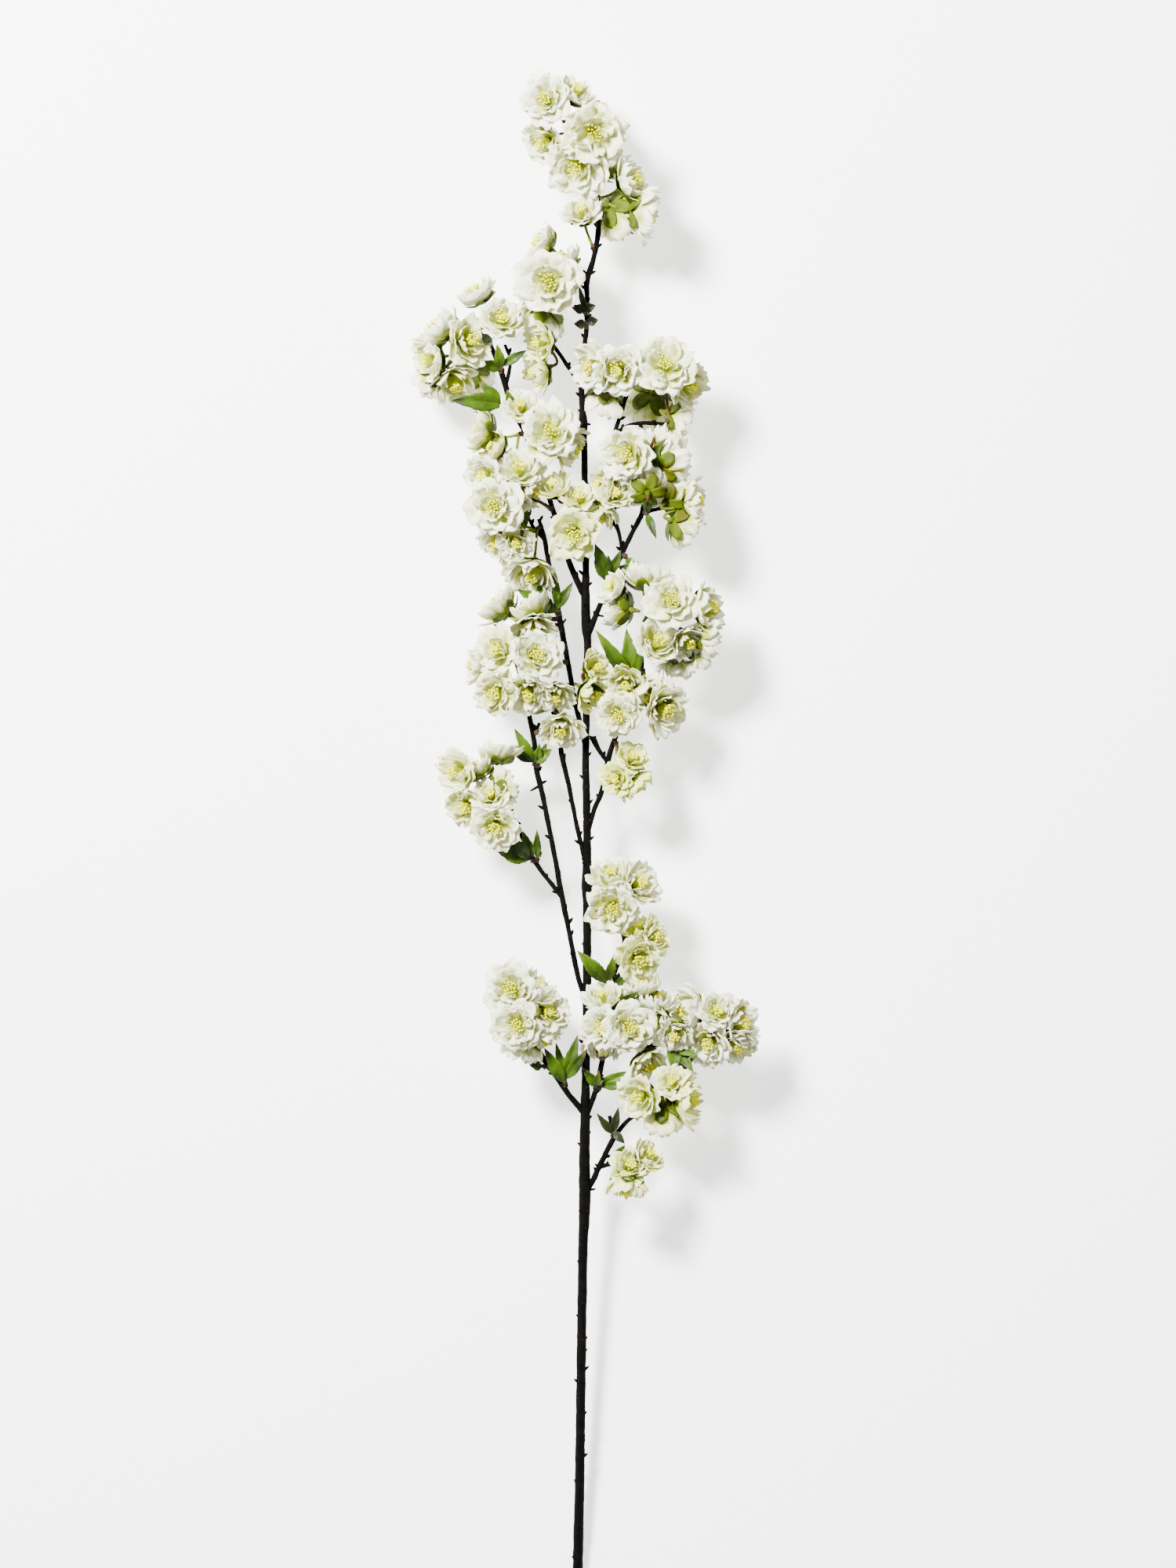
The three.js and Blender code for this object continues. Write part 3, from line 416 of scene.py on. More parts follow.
bud_lines = []
draw_buds = random.Random("buds")
for line in limb_lines[:len(wood_lines)]:
    gone = BUD_EVERY * draw_buds.uniform(*FIRST_BUD)
    for (start, width), (end, _) in zip(line, line[1:]):
        gone -= (end - start).length
        if gone > 0:
            continue
        gone = BUD_EVERY * draw_buds.uniform(*BUD_GAPS)
        ahead = (end - start).normalized()
        turn = Matrix.Rotation(draw_buds.uniform(0, math.tau), 3, ahead)
        out = turn @ ahead.orthogonal().normalized()
        way = ahead * math.cos(math.radians(BUD_LEAN)) + out * math.sin(math.radians(BUD_LEAN))
        tip = start + out * width * 0.4 + way * draw_buds.uniform(*BUD_LENGTH)
        shoulder = start.lerp(tip, 0.6)
        bud_lines.append([(start, BUD_WIDTH), (shoulder, BUD_WIDTH), (tip, BUD_WIDTH * BUD_TAPER)])
wood_mesh = tubes_mesh("wood", limb_lines + bud_lines, LIMB_RESOLUTION)
closed_and_outward(wood_mesh)
for vertex in wood_mesh.vertices:
    vertex.co += vertex.normal * noise.noise(vertex.co * BARK_LUMPS) * BARK_ROUGHNESS
    vertex.co.z = max(vertex.co.z, 0.0)
show("branch_wood", wood_mesh, bark, "bark", "wood")


# The bunches of double blooms. Each leaves the wood at one knot or more, given before its blooms. A bloom
# is its middle across, down and at a height in millimetres, its width in millimetres, its lean from facing
# up and the turn it leans towards, both in degrees, and the number of the knot it hangs on.
BUNCHES = {
    "a": (((757, 254), (727, 176), (759, 322)), [
        (696, 130, 70, 37, 15, 160, 1), (757, 174, 76, 44, 15, 300, 1), (694, 182, 60, 30, 45, 215, 1),
        (736, 214, 66, 40, 30, 240, 1), (742, 272, 64, 26, 40, 105, 2), (733, 118, 58, 26, 60, 60, 1),
        (762, 150, 56, 30, 70, 45, 1), (788, 272, 46, 34, 130, 320, 0), (822, 272, 56, 34, 95, 350, 0),
        (806, 232, 58, 31, 70, 30, 0), (775, 205, 50, 30, 110, 40, 0)]),
    "b": (((748, 358),), [
        (700, 362, 76, 47, 8, 180, 0), (690, 312, 56, 26, 85, 150, 0), (718, 332, 58, 24, 80, 120, 0),
        (672, 368, 54, 30, 100, 190, 0), (690, 405, 42, 34, 120, 250, 0)]),
    "c": (((704, 437),), [(690, 436, 60, 25, 55, 190, 0), (685, 473, 50, 26, 75, 200, 0)]),
    "d": (((626, 441),), [
        (609, 374, 62, 24, 75, 120, 0), (640, 409, 72, 31, 20, 60, 0), (598, 436, 72, 36, 35, 10, 0),
        (560, 420, 54, 30, 80, 140, 0), (548, 457, 54, 30, 60, 190, 0), (578, 488, 48, 29, 55, 290, 0),
        (548, 490, 38, 24, 110, 230, 0), (600, 475, 10.3, 26, 150, 270, 0)]),
    "e": (((803, 492), (848, 541)), [
        (756, 468, 66, 32, 50, 190, 0), (789, 474, 74, 36, 20, 200, 0), (848, 468, 78, 42, 12, 90, 0),
        (878, 492, 66, 28, 55, 330, 1), (834, 508, 15, 38, 150, 270, 0), (772, 510, 44, 28, 120, 260, 0),
        (868, 532, 46, 28, 100, 340, 1), (815, 462, 58, 28, 70, 90, 0)]),
    "f": (((661, 538), (743, 538)), [
        (664, 520, 64, 26, 35, 105, 0), (703, 552, 76, 42, 15, 100, 1), (730, 570, 60, 26, 80, 330, 1)]),
    "g": (((670, 552),), [(614, 550, 54, 28, 100, 165, 0), (630, 572, 60, 22, 70, 150, 0)]),
    "h": (((684, 592), (706, 652), (689, 670)), [
        (619, 607, 68, 27, 30, 200, 0), (662, 600, 66, 32, 35, 90, 0), (656, 637, 72, 24, 50, 20, 0),
        (680, 628, 64, 20, 70, 340, 1), (631, 648, 78, 40, 10, 200, 0), (632, 692, 58, 22, 60, 235, 2),
        (657, 692, 66, 24, 25, 300, 2), (653, 715, 60, 16, 50, 250, 2), (678, 732, 62, 32, 55, 260, 2)]),
    "i": (((746, 615), (747, 705), (794, 580)), [
        (707, 622, 64, 22, 55, 110, 0), (738, 637, 72, 23, 35, 95, 0), (733, 682, 74, 37, 15, 250, 1),
        (784, 632, 68, 23, 30, 60, 2), (768, 620, 60, 25, 60, 170, 2), (764, 656, 60, 24, 80, 260, 1)]),
    "j": (((804, 597), (820, 646), (836, 541), (864, 645)), [
        (800, 580, 78, 36, 20, 200, 0), (850, 568, 50, 28, 110, 60, 2), (826, 622, 66, 27, 150, 90, 1),
        (852, 592, 60, 30, 130, 20, 2), (858, 632, 54, 28, 130, 45, 3), (886, 640, 60, 26, 80, 0, 3),
        (872, 670, 56, 30, 115, 340, 3), (792, 606, 62, 24, 100, 250, 0)]),
    "k": (((766, 768), (820, 818), (847, 790)), [
        (782, 750, 66, 22, 60, 150, 0), (826, 736, 62, 31, 100, 80, 2), (790, 776, 58, 26, 115, 170, 0),
        (856, 767, 76, 37, 10, 90, 2), (902, 776, 64, 30, 65, 10, 2), (838, 820, 72, 34, 35, 50, 1),
        (876, 820, 68, 26, 50, 330, 2), (904, 812, 56, 28, 95, 345, 2), (884, 842, 48, 26, 110, 300, 2),
        (861, 852, 50, 22, 95, 268, 2)]),
    "l": (((714, 790), (724, 845), (672, 900), (707, 905)), [
        (637, 773, 60, 28, 100, 140, 0), (676, 776, 58, 28, 100, 120, 0), (680, 803, 62, 32, 50, 280, 0),
        (636, 830, 72, 32, 30, 160, 2), (684, 837, 76, 36, 15, 30, 1), (606, 850, 58, 22, 80, 170, 2),
        (633, 883, 70, 31, 25, 220, 2), (675, 884, 70, 31, 35, 260, 2), (708, 888, 66, 26, 45, 275, 3),
        (716, 930, 66, 28, 40, 270, 3)]),
    "m": (((748, 885),), [(760, 853, 66, 22, 50, 20, 0), (754, 884, 60, 25, 70, 330, 0)]),
    "n": (((802, 895), (818, 850)), [
        (798, 871, 68, 25, 35, 260, 0), (788, 912, 72, 32, 12, 250, 0), (819, 886, 60, 24, 80, 330, 1),
        (847, 905, 66, 34, 40, 340, 1), (843, 882, 54, 25, 110, 60, 1)]),
    "o": (((784, 943),), [
        (806, 967, 62, 22, 40, 60, 0), (786, 993, 66, 23, 20, 190, 0), (810, 1000, 56, 24, 95, 310, 0)]),
    "p": (((640, 1022),), [
        (583, 984, 60, 32, 45, 180, 0), (609, 980, 56, 22, 90, 120, 0), (636, 960, 56, 24, 100, 90, 0),
        (640, 1004, 56, 22, 130, 30, 0), (626, 1014, 66, 24, 35, 110, 0), (594, 1028, 62, 28, 30, 230, 0),
        (632, 1054, 68, 34, 20, 260, 0)]),
    "q": (((750, 1125),), [
        (779, 1117, 64, 28, 50, 95, 0), (815, 1127, 64, 29, 45, 30, 0), (782, 1158, 70, 37, 12, 250, 0)]),
    "r": (((794, 1190),), [
        (812, 1184, 60, 22, 60, 90, 0), (834, 1196, 60, 24, 50, 20, 0), (814, 1222, 66, 30, 25, 300, 0)]),
    "s": (((686, 1338),), [
        (653, 1260, 72, 38, 15, 150, 0), (685, 1262, 62, 28, 70, 50, 0), (698, 1290, 68, 31, 25, 20, 0),
        (660, 1306, 76, 35, 10, 220, 0), (690, 1326, 60, 22, 80, 300, 0), (666, 1336, 54, 26, 110, 250, 0),
        (668, 1284, 42, 34, 110, 120, 0)]),
    "t": (((777, 1290), (772, 1335), (806, 1339)), [
        (769, 1273, 60, 27, 55, 105, 0), (767, 1310, 72, 30, 15, 190, 0), (802, 1309, 76, 36, 8, 0, 1),
        (770, 1334, 62, 25, 70, 265, 1), (838, 1302, 66, 26, 50, 220, 2), (860, 1318, 70, 25, 35, 260, 2),
        (836, 1276, 58, 26, 75, 80, 2), (818, 1258, 58, 24, 80, 100, 2)]),
    "u": (((879, 1311),), [
        (877, 1290, 60, 31, 70, 170, 0), (914, 1289, 72, 27, 20, 60, 0), (904, 1328, 66, 31, 30, 230, 0),
        (944, 1306, 62, 30, 50, 10, 0), (941, 1332, 60, 26, 45, 290, 0), (900, 1346, 52, 22, 80, 265, 0)]),
    "v": (((822, 1342), (850, 1372)), [
        (825, 1356, 58, 25, 60, 305, 0), (816, 1398, 66, 30, 35, 200, 1), (856, 1379, 70, 22, 20, 90, 1),
        (877, 1403, 60, 32, 80, 0, 1), (848, 1421, 54, 28, 130, 280, 1)]),
    "w": (((793, 1504),), [
        (804, 1486, 62, 26, 25, 70, 0), (826, 1474, 58, 22, 60, 40, 0), (799, 1514, 60, 25, 85, 265, 0)]),
}
CLEARANCE = 0.0005
BLOOM_PEG = 0.006
STALKS_START = 0.65
STALK_WIDTH = 0.0019
STALK_SWELL = 1.25
STALK_FLARE = 1.15
STALK_BEND = 0.45
STALK_POINTS = 9
CUP_LENGTH = 0.0065
# How a bloom's parts lie, as shares of its radius, when it is wide open and when it is cupped.
OPEN = {"back": -0.36, "tip": 0.02, "crown": 0.42, "middle": 0.2, "bend": 14}
CUPPED = {"back": -0.62, "tip": 0.34, "crown": 0.6, "middle": 0.3, "bend": -38}
CUPPED_LEAN = 75
LEAST_CUPPED = 0.1
PETAL_ROOT = 0.08
# How far the petals reach past a bloom's radius: a little face on, more round the skirt of a leaning one,
# and more on the small blooms, whose petals aren't pressed by others.
FACE_SPREAD = 1.15
SKIRT_SPREAD = 0.20
SMALL_SPREAD = 0.12
SMALL_RADIUS = (0.011, 0.017)


class Bloom:
    """A double bloom's frame: its centre, the way it faces, two ways across, its radius and its stalk."""

    def __init__(self, row, root):
        across, down, height, width, lean, towards, _ = row
        tilt = math.radians(lean)
        turn = math.radians(towards)
        flat = math.sin(tilt)
        self.axis = Vector((flat * math.cos(turn), flat * math.sin(turn), math.cos(tilt)))
        self.side = self.axis.orthogonal().normalized()
        self.other = self.axis.cross(self.side)
        self.centre = place(across, down, height)
        self.radius = width / 2000
        smallness = (SMALL_RADIUS[1] - self.radius) / (SMALL_RADIUS[1] - SMALL_RADIUS[0])
        self.spread = FACE_SPREAD + SKIRT_SPREAD * min(lean / CUPPED_LEAN, 1)
        self.spread += SMALL_SPREAD * min(max(smallness, 0), 1)
        cupped = min(max(lean / CUPPED_LEAN, LEAST_CUPPED), 1)
        self.shape = {key: OPEN[key] + (CUPPED[key] - OPEN[key]) * cupped for key in OPEN}
        self.back = self.centre + self.axis * self.shape["back"] * self.radius
        self.neck = self.back - self.axis * CUP_LENGTH
        self.root = root

    def at(self, turn, out, up):
        """A point at a turn in radians about the axis, out from it and up along it, from the centre."""
        across = self.side * out * math.cos(turn) + self.other * out * math.sin(turn)
        return self.centre + across + self.axis * up

    def tangent(self, turn):
        return self.other * math.cos(turn) - self.side * math.sin(turn)

    def arc(self, reach, top, bend, along):
        """How far out and up a petal's middle line is, along from base to tip, bent by some degrees."""
        start_out = PETAL_ROOT * self.radius
        start_up = self.shape["back"] * self.radius
        run_out = reach * self.spread * self.radius - start_out
        run_up = top * self.radius - start_up
        lean = math.atan2(run_out, run_up)
        half_bend = math.radians(bend) or 0.01
        length = math.hypot(run_out, run_up) * half_bend / math.sin(half_bend)
        first = lean - half_bend
        angle = first + 2 * half_bend * along
        out = start_out + length * (math.cos(first) - math.cos(angle)) / (2 * half_bend)
        up = start_up + length * (math.sin(angle) - math.sin(first)) / (2 * half_bend)
        return out, up

    def stalk(self):
        reach = (self.neck - self.root).length
        bend = self.neck - self.axis * STALK_BEND * reach
        line = []
        for index in range(STALK_POINTS):
            t = index / (STALK_POINTS - 1)
            spot = self.root * (1 - t) ** 2 + bend * 2 * t * (1 - t) + self.neck * t**2
            line.append((spot, STALK_SWELL * STALK_WIDTH * (STALK_FLARE - t * (1 - t))))
        return line


def peg_at(knot, aims):
    spot, width = on_wood(*knot)
    middle = sum(aims, Vector()) / len(aims)
    ahead = (middle - spot).normalized()
    return spot + ahead * (width / 2 + CLEARANCE), ahead


bunches = {}
pegs = []
for letter, (knots, rows) in BUNCHES.items():
    bunches[letter] = []
    for index, knot in enumerate(knots):
        own = [row for row in rows if row[6] == index]
        start, ahead = peg_at(knot, [place(*row[:3]) for row in own])
        pegs.append((start, ahead, BLOOM_PEG))
        root = start + ahead * (BLOOM_PEG - CLEARANCE) * STALKS_START
        bunches[letter] += [Bloom(row, root) for row in own]


# The stalks and cups: each bloom hangs on a thin green stalk, reddish in places, which ends in a small
# green cup. Five rounded lobes of the cup lie on the backs of the outer petals and hold them.
CUP_RADIUS = 0.0042
CUP_SHARE = 0.34
LOBES = 5
LOBE_REACH = 0.0108
LOBE_LIMIT = 0.62
LOBE_WIDTH = 0.56
LOBE_ROUNDING = 0.16
LOBE_DROP = 0.0009
LOBE_THICKNESS = 0.0004
MOST_POINTS = 1e5


def turned_to(ahead):
    return ahead.to_track_quat("Z", "Y").to_matrix().to_4x4()


def add_cup(shape, bloom):
    """Adds the green cup under a bloom, a flared tube and five rounded lobes on the backs of the petals.

    The faces of the lobes are returned in the order they were made in, still without a thickness.
    """
    mouth = min(CUP_RADIUS, bloom.radius * CUP_SHARE) * 0.8
    middle = bloom.back - bloom.axis * CUP_LENGTH * 0.5
    bmesh.ops.create_cone(
        shape, cap_ends=True, segments=10, radius1=STALK_WIDTH * 0.55, radius2=mouth, depth=CUP_LENGTH,
        matrix=Matrix.Translation(middle) @ turned_to(bloom.axis))
    share = min(LOBE_REACH / bloom.radius, LOBE_LIMIT)
    lobe_faces = {}
    for lobe in range(LOBES):
        turn = (lobe + 0.2) / LOBES * math.tau
        blade = bmesh.ops.create_grid(shape, x_segments=4, y_segments=5, size=0.5)["verts"]
        for vertex in blade:
            sideways, along = vertex.co.x * 2, vertex.co.y + 0.5
            along *= 1 - LOBE_ROUNDING * sideways**2
            out, up = bloom.arc(1.0, bloom.shape["tip"], bloom.shape["bend"], along * share)
            # A lobe is widest at its middle, with a broad root and a blunt tip.
            half = share * bloom.radius * LOBE_WIDTH * math.sin(math.pi * (0.16 + 0.66 * along))
            drop = LOBE_DROP * (1 + abs(sideways) * 0.6)
            spot = bloom.at(turn, out + drop * 0.6, up - drop)
            vertex.co = spot + bloom.tangent(turn) * sideways * half
            lobe_faces.update(dict.fromkeys(vertex.link_faces))
    return list(lobe_faces)


def by_points(face):
    """A number for a face, from its lowest, second and highest points, that puts faces in a fixed order."""
    low, second, *_, high = sorted(vertex.index for vertex in face.verts)
    return (low * MOST_POINTS + second) * MOST_POINTS + high


stalk_finish = Finish("green stalks and cups", 0.6, Specular_IOR_Level=0.15)
stalk_tone = stalk_finish.noise(90, 3.0).band(0.35, 0.7)
stalk_green = stalk_tone.blend(colour(76, 92, 0), colour(44, 58, 0))
stalk_brown = stalk_finish.noise(35, 2.0).band(0.56, 0.72)
cup_colour = (stalk_brown * 0.6).blend(stalk_green, colour(60, 44, 0))
stalk_red = stalk_finish.noise(22, 1.0).band(0.42, 0.58)
stalk_colour = stalk_red.blend(colour(98, 108, 10), colour(64, 36, 8))
stalk_finish.feed("Base Color", stalk_finish.attribute("stalk").blend(cup_colour, stalk_colour))
stalk_finish.bump(stalk_finish.noise(900, 2.0), 0.25, 0.0003)

for letter, blooms in bunches.items():
    mesh = tubes_mesh(f"stalks_{letter}", [bloom.stalk() for bloom in blooms], 1)
    shape = bmesh.new()
    shape.from_mesh(mesh)
    layer = shape.verts.layers.float.new("stalk")
    for vertex in shape.verts:
        vertex[layer] = 1.0
    lobe_faces = [face for bloom in blooms for face in add_cup(shape, bloom)]
    bmesh.ops.recalc_face_normals(shape, faces=shape.faces)
    bmesh.ops.solidify(shape, geom=lobe_faces, thickness=LOBE_THICKNESS)
    shape.verts.index_update()
    shape.faces.sort(key=by_points)
    for vertex in shape.verts:
        vertex.co.z = max(vertex.co.z, 0.0)
    shape.to_mesh(mesh)
    shape.free()
    show(f"stalks_{letter}", mesh, stalk_finish, "leaves")

# The knots: where a bunch's stalks or a tuft's leaves leave the wood, a few brown pointed bud scales wrap
# their roots, one above the other. Both bunches and tufts have them, and they are fixed to the wood.
SCALES = 4
SCALE_WIDTHS = (0.0020, 0.0008)
SCALE_SPAN = 0.7
SCALE_LEAN = 16
SCALE_TURN = 2.4

knot_finish = Finish("bud scales", 0.7, Specular_IOR_Level=0.3)
knot_tone = knot_finish.noise(400, 3.0).band(0.4, 0.65)
knot_finish.feed("Base Color", knot_tone.blend(colour(30, 17, 12), colour(66, 48, 18)))
knot_finish.bump(knot_finish.noise(700, 3.0), 0.5, 0.0005)


def scales_mesh(name, knots):
    """One mesh of knots, each at a start, a way ahead and a length."""
    shape = bmesh.new()
    for start, ahead, length in knots:
        for scale in range(SCALES):
            middle = start + ahead * length * (0.3 + 0.45 * scale / SCALES)
            turn = scale * SCALE_TURN
            tilt = Matrix.Rotation(math.radians(SCALE_LEAN), 4, Vector((math.cos(turn), math.sin(turn), 0)))
            bmesh.ops.create_cone(
                shape, cap_ends=True, segments=7, radius1=SCALE_WIDTHS[0], radius2=SCALE_WIDTHS[1],
                depth=length * SCALE_SPAN, matrix=Matrix.Translation(middle) @ turned_to(ahead) @ tilt)
    mesh = bpy.data.meshes.new(name)
    shape.to_mesh(mesh)
    shape.free()
    return mesh


show("bunch_knots", scales_mesh("bunch_knots", pegs), knot_finish, "bark")


# The petals: thin crumpled white blades with ragged waved edges and a notch at the tip, in rings from the
# outer five to a low heart round the stamens. Each is a small grid shaped along a bent line from the base
# of the bloom, and the sheet gets its thickness at the end.
PETAL_ACROSS = 9
PETAL_ALONG = 5
PETAL_THICKNESS = 0.0003
PETAL_CLEARNESS = 0.2
# For each ring: petals, reach and height of their tips as shares of the radius (the height over the one
# that the key names), half width, the bend in degrees added to the bloom's, and how much the edge waves.
RINGS = (
    (5, 1.05, "tip", -0.04, 0.60, 10, 0.13),
    (5, 0.86, "tip", 0.18, 0.50, -4, 0.15),
    (4, 0.58, "crown", -0.04, 0.34, -14, 0.13),
    (3, 0.40, "crown", -0.16, 0.18, -20, 0.10),
)
# How far single petals and blooms stray from the rule of their ring.
REACHES = (0.88, 1.06)
LIFTS = (-0.08, 0.08)
BENDS = (-8, 8)
HALF_WIDTHS = (0.85, 1.12)
SKEWS = (-0.2, 0.2)
TURNS = (-0.22, 0.22)
OPENINGS = (0.8, 1.15)
WARMTHS = (0, 0.2)
# A petal's edge: how far its corners are rounded off, the notch, and broad and fine raggedness, each with
# its waves over half the width, the start of its pattern and its depth.
PETAL_ROUNDING = 0.32
NOTCH_DEPTH = 0.10
NOTCH_WIDTH = 0.22
RAGGEDNESS = ((1.5, 0, 0.12), (4.0, 3, 0.04))
# A petal's face: how strong its crumples, creases and pleats are, and how far its sides turn up.
CRUMPLE = 1.5
CREASE = 0.4
PLEATS = 8
PLEAT = 0.02
CUPPING = 0.30
# How strongly shade is painted into the valleys of the crumples and creases.
HOLLOW_SHADE = 0.7
SMALL_BLOOM = 0.0115
CROWN_WARMTH = 0.16
WARM_BUNCHES = {
    "c": 0.4, "g": 0.35, "i": 0.3, "l": 0.1, "m": 0.5, "n": 0.15, "o": 0.6, "p": 0.15, "r": 0.5,
    "v": 0.3, "w": 0.4}

petal_finish = Finish("white petals", 0.62, Specular_IOR_Level=0.12, Sheen_Weight=0.05)
petal_along = petal_finish.axes(petal_finish.uv)[1]
petal_streaks = petal_finish.noise(5, 3.0, vector=petal_finish.stretched(petal_finish.uv, (4, 0.6, 1)))
# The petals turn yellow-green towards their bases: partly their own tint there, partly painted shade and a
# painted yellow glow deep in the bloom.
petal_base_tint_and_shade = (petal_along + petal_streaks * 0.2).band(0.68, 0.26)
# Painted shade: the petals darken to olive in the valleys of their crumples and creases, along their
# streaks and towards their bases, and stay light at their rims.
petal_hollow_shade = petal_finish.attribute("hollow")
petal_shade = (petal_hollow_shade + petal_streaks * 0.4 - petal_along * 0.15).band(0.3, 0.95)
petal_white_and_shade = petal_shade.blend(colour(254, 255, 237), colour(166, 174, 58))
petal_warm = petal_finish.attribute("warmth").blend(petal_white_and_shade, colour(238, 244, 96))
petal_colour = (petal_base_tint_and_shade * 0.95).blend(petal_warm, colour(202, 212, 0))
petal_finish.feed("Base Color", petal_colour)
petal_finish.let_light_through(PETAL_CLEARNESS, colour(252, 248, 200))
petal_finish.bump(petal_streaks, 0.8, 0.0017)


def add_petal(shape, layers, draw, bloom, warmth, turn, ring, opened):
    _, reach, key, lift, half_width, bend, wave = ring
    radius = bloom.radius
    reach *= draw.uniform(*REACHES)
    top = bloom.shape[key] + lift + draw.uniform(*LIFTS)
    bend = bloom.shape["bend"] + bend + draw.uniform(*BENDS)
    half_width *= draw.uniform(*HALF_WIDTHS)
    patch = Vector((draw.uniform(0, 90), draw.uniform(0, 90), draw.uniform(0, 90)))
    skew = draw.uniform(*SKEWS)
    if key == "crown":
        warmth += CROWN_WARMTH
        reach *= opened
    grid = bmesh.ops.create_grid(
        shape, x_segments=PETAL_ACROSS, y_segments=PETAL_ALONG, size=0.5, calc_uvs=True)
    for vertex in grid["verts"]:
        sideways, along = vertex.co.x * 2, vertex.co.y + 0.5
        ragged = sum(noise.noise(patch + Vector((sideways * waves, start, 0))) * depth
                     for waves, start, depth in RAGGEDNESS)
        notch = NOTCH_DEPTH * math.exp(-((sideways / NOTCH_WIDTH) ** 2))
        along *= 1 - (PETAL_ROUNDING * sideways**4 + notch + ragged) * along**2
        out, up = bloom.arc(reach, top, bend, along)
        # A petal is narrow at its base and widest two thirds of the way out.
        half = half_width * radius * math.sin(math.pi * (0.06 + 0.68 * along)) ** 0.75
        crumple = noise.noise(patch + Vector((sideways * 1.7, along * 1.9, 5))) * wave * CRUMPLE
        crease = math.sin(sideways * PLEATS + patch.x + along * 2) * PLEAT * along
        crease += noise.noise(patch + Vector((sideways * 3.0, along * 3.0, 9))) * wave * CREASE
        cup = CUPPING * (sideways * half / radius) ** 2
        lift_here = (crumple + crease) * along + cup
        spot = bloom.at(turn, out - lift_here * radius * 0.4, up + lift_here * radius)
        vertex.co = spot + bloom.tangent(turn) * (sideways + skew * along) * half
        vertex[layers[0]] = warmth
        # Painted shade for this point: more in the valleys of the crumples and creases, none at the petal's
        # rim.
        hollow = 0.5 - (crumple + crease) / wave * HOLLOW_SHADE
        vertex[layers[1]] = min(max(hollow, 0), 1) * (1 - along**4)


petal_nodes = {}
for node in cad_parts:
    if node.startswith("bunch_"):
        letter = node.removeprefix("bunch_")[0]
        petal_nodes.setdefault(letter, []).append(node)

for letter, blooms in bunches.items():
    draw = random.Random(f"petals {letter}")
    shape = bmesh.new()
    shape.loops.layers.uv.new("petal")
    layers = [shape.verts.layers.float.new(name) for name in ("warmth", "hollow")]
    for bloom in blooms:
        spin = draw.uniform(0, math.tau)
        warmth = WARM_BUNCHES.get(letter, 0.0) + draw.uniform(*WARMTHS)
        opened = draw.uniform(*OPENINGS)
        rings = RINGS[:3] if bloom.radius < SMALL_BLOOM else RINGS
        for ring_index, ring in enumerate(rings):
            for petal in range(ring[0]):
                turn = spin + (petal + 0.5 * ring_index) / ring[0] * math.tau + draw.uniform(*TURNS)
                add_petal(shape, layers, draw, bloom, warmth, turn, ring, opened)
    for vertex in shape.verts:
        vertex.co.z = max(vertex.co.z, PETAL_THICKNESS)
    mesh = bpy.data.meshes.new(f"petals_{letter}")
    shape.to_mesh(mesh)
    shape.free()
    piece = show(f"petals_{letter}", mesh, petal_finish, "petals", *petal_nodes[letter])
    thickness = piece.modifiers.new("thickness", "SOLIDIFY")
    thickness.thickness = PETAL_THICKNESS
    thickness.offset = 0


# The stamens: a tuft of fine yellow threads in the heart of each bloom, with a bright yellow bead at the
# end of each. They grow from the bloom's base, inside the inner petals.
STAMENS = 26
STAMEN_RADIUS = 0.00034
STAMEN_TAPER = 0.6
ANTHER_RADIUS = 0.00116
ANTHER_SHAPE = (0.8, 0.8, 1.3)
ANTHER_CLEARANCE = 0.0005
HEART_SPREAD = 0.33
HEART_SPREADS = (0.7, 1.15)
ROOT_SPREAD = 0.3
ROOT_RISE = 0.12
TIP_RISES = (0.02, 0.2)
GOLDEN_TURN = 2.39996

stamen_finish = Finish("yellow stamens", 0.7, Specular_IOR_Level=0.05)
stamen_tone = stamen_finish.noise(300, 1.0).band(0.4, 0.6).blend(colour(228, 230, 0), colour(212, 206, 0))
stamen_finish.feed("Base Color", stamen_finish.attribute("anther").blend(colour(206, 212, 0), stamen_tone))


def points_and_faces(shape):
    """The points of a shape, and for each of its faces the numbers of its points. The shape is freed."""
    points = [vertex.co.copy() for vertex in shape.verts]
    faces = [[vertex.index for vertex in face.verts] for face in shape.faces]
    shape.free()
    return points, faces


shape = bmesh.new()
bmesh.ops.create_cone(
    shape, cap_ends=False, segments=3, radius1=STAMEN_RADIUS, radius2=STAMEN_RADIUS * STAMEN_TAPER,
    depth=1.0, matrix=Matrix.Translation((0, 0, 0.5)))
thread_part = points_and_faces(shape)
shape = bmesh.new()
bmesh.ops.create_icosphere(shape, subdivisions=1, radius=ANTHER_RADIUS)
bmesh.ops.scale(shape, verts=shape.verts, vec=ANTHER_SHAPE)
anther_part = points_and_faces(shape)

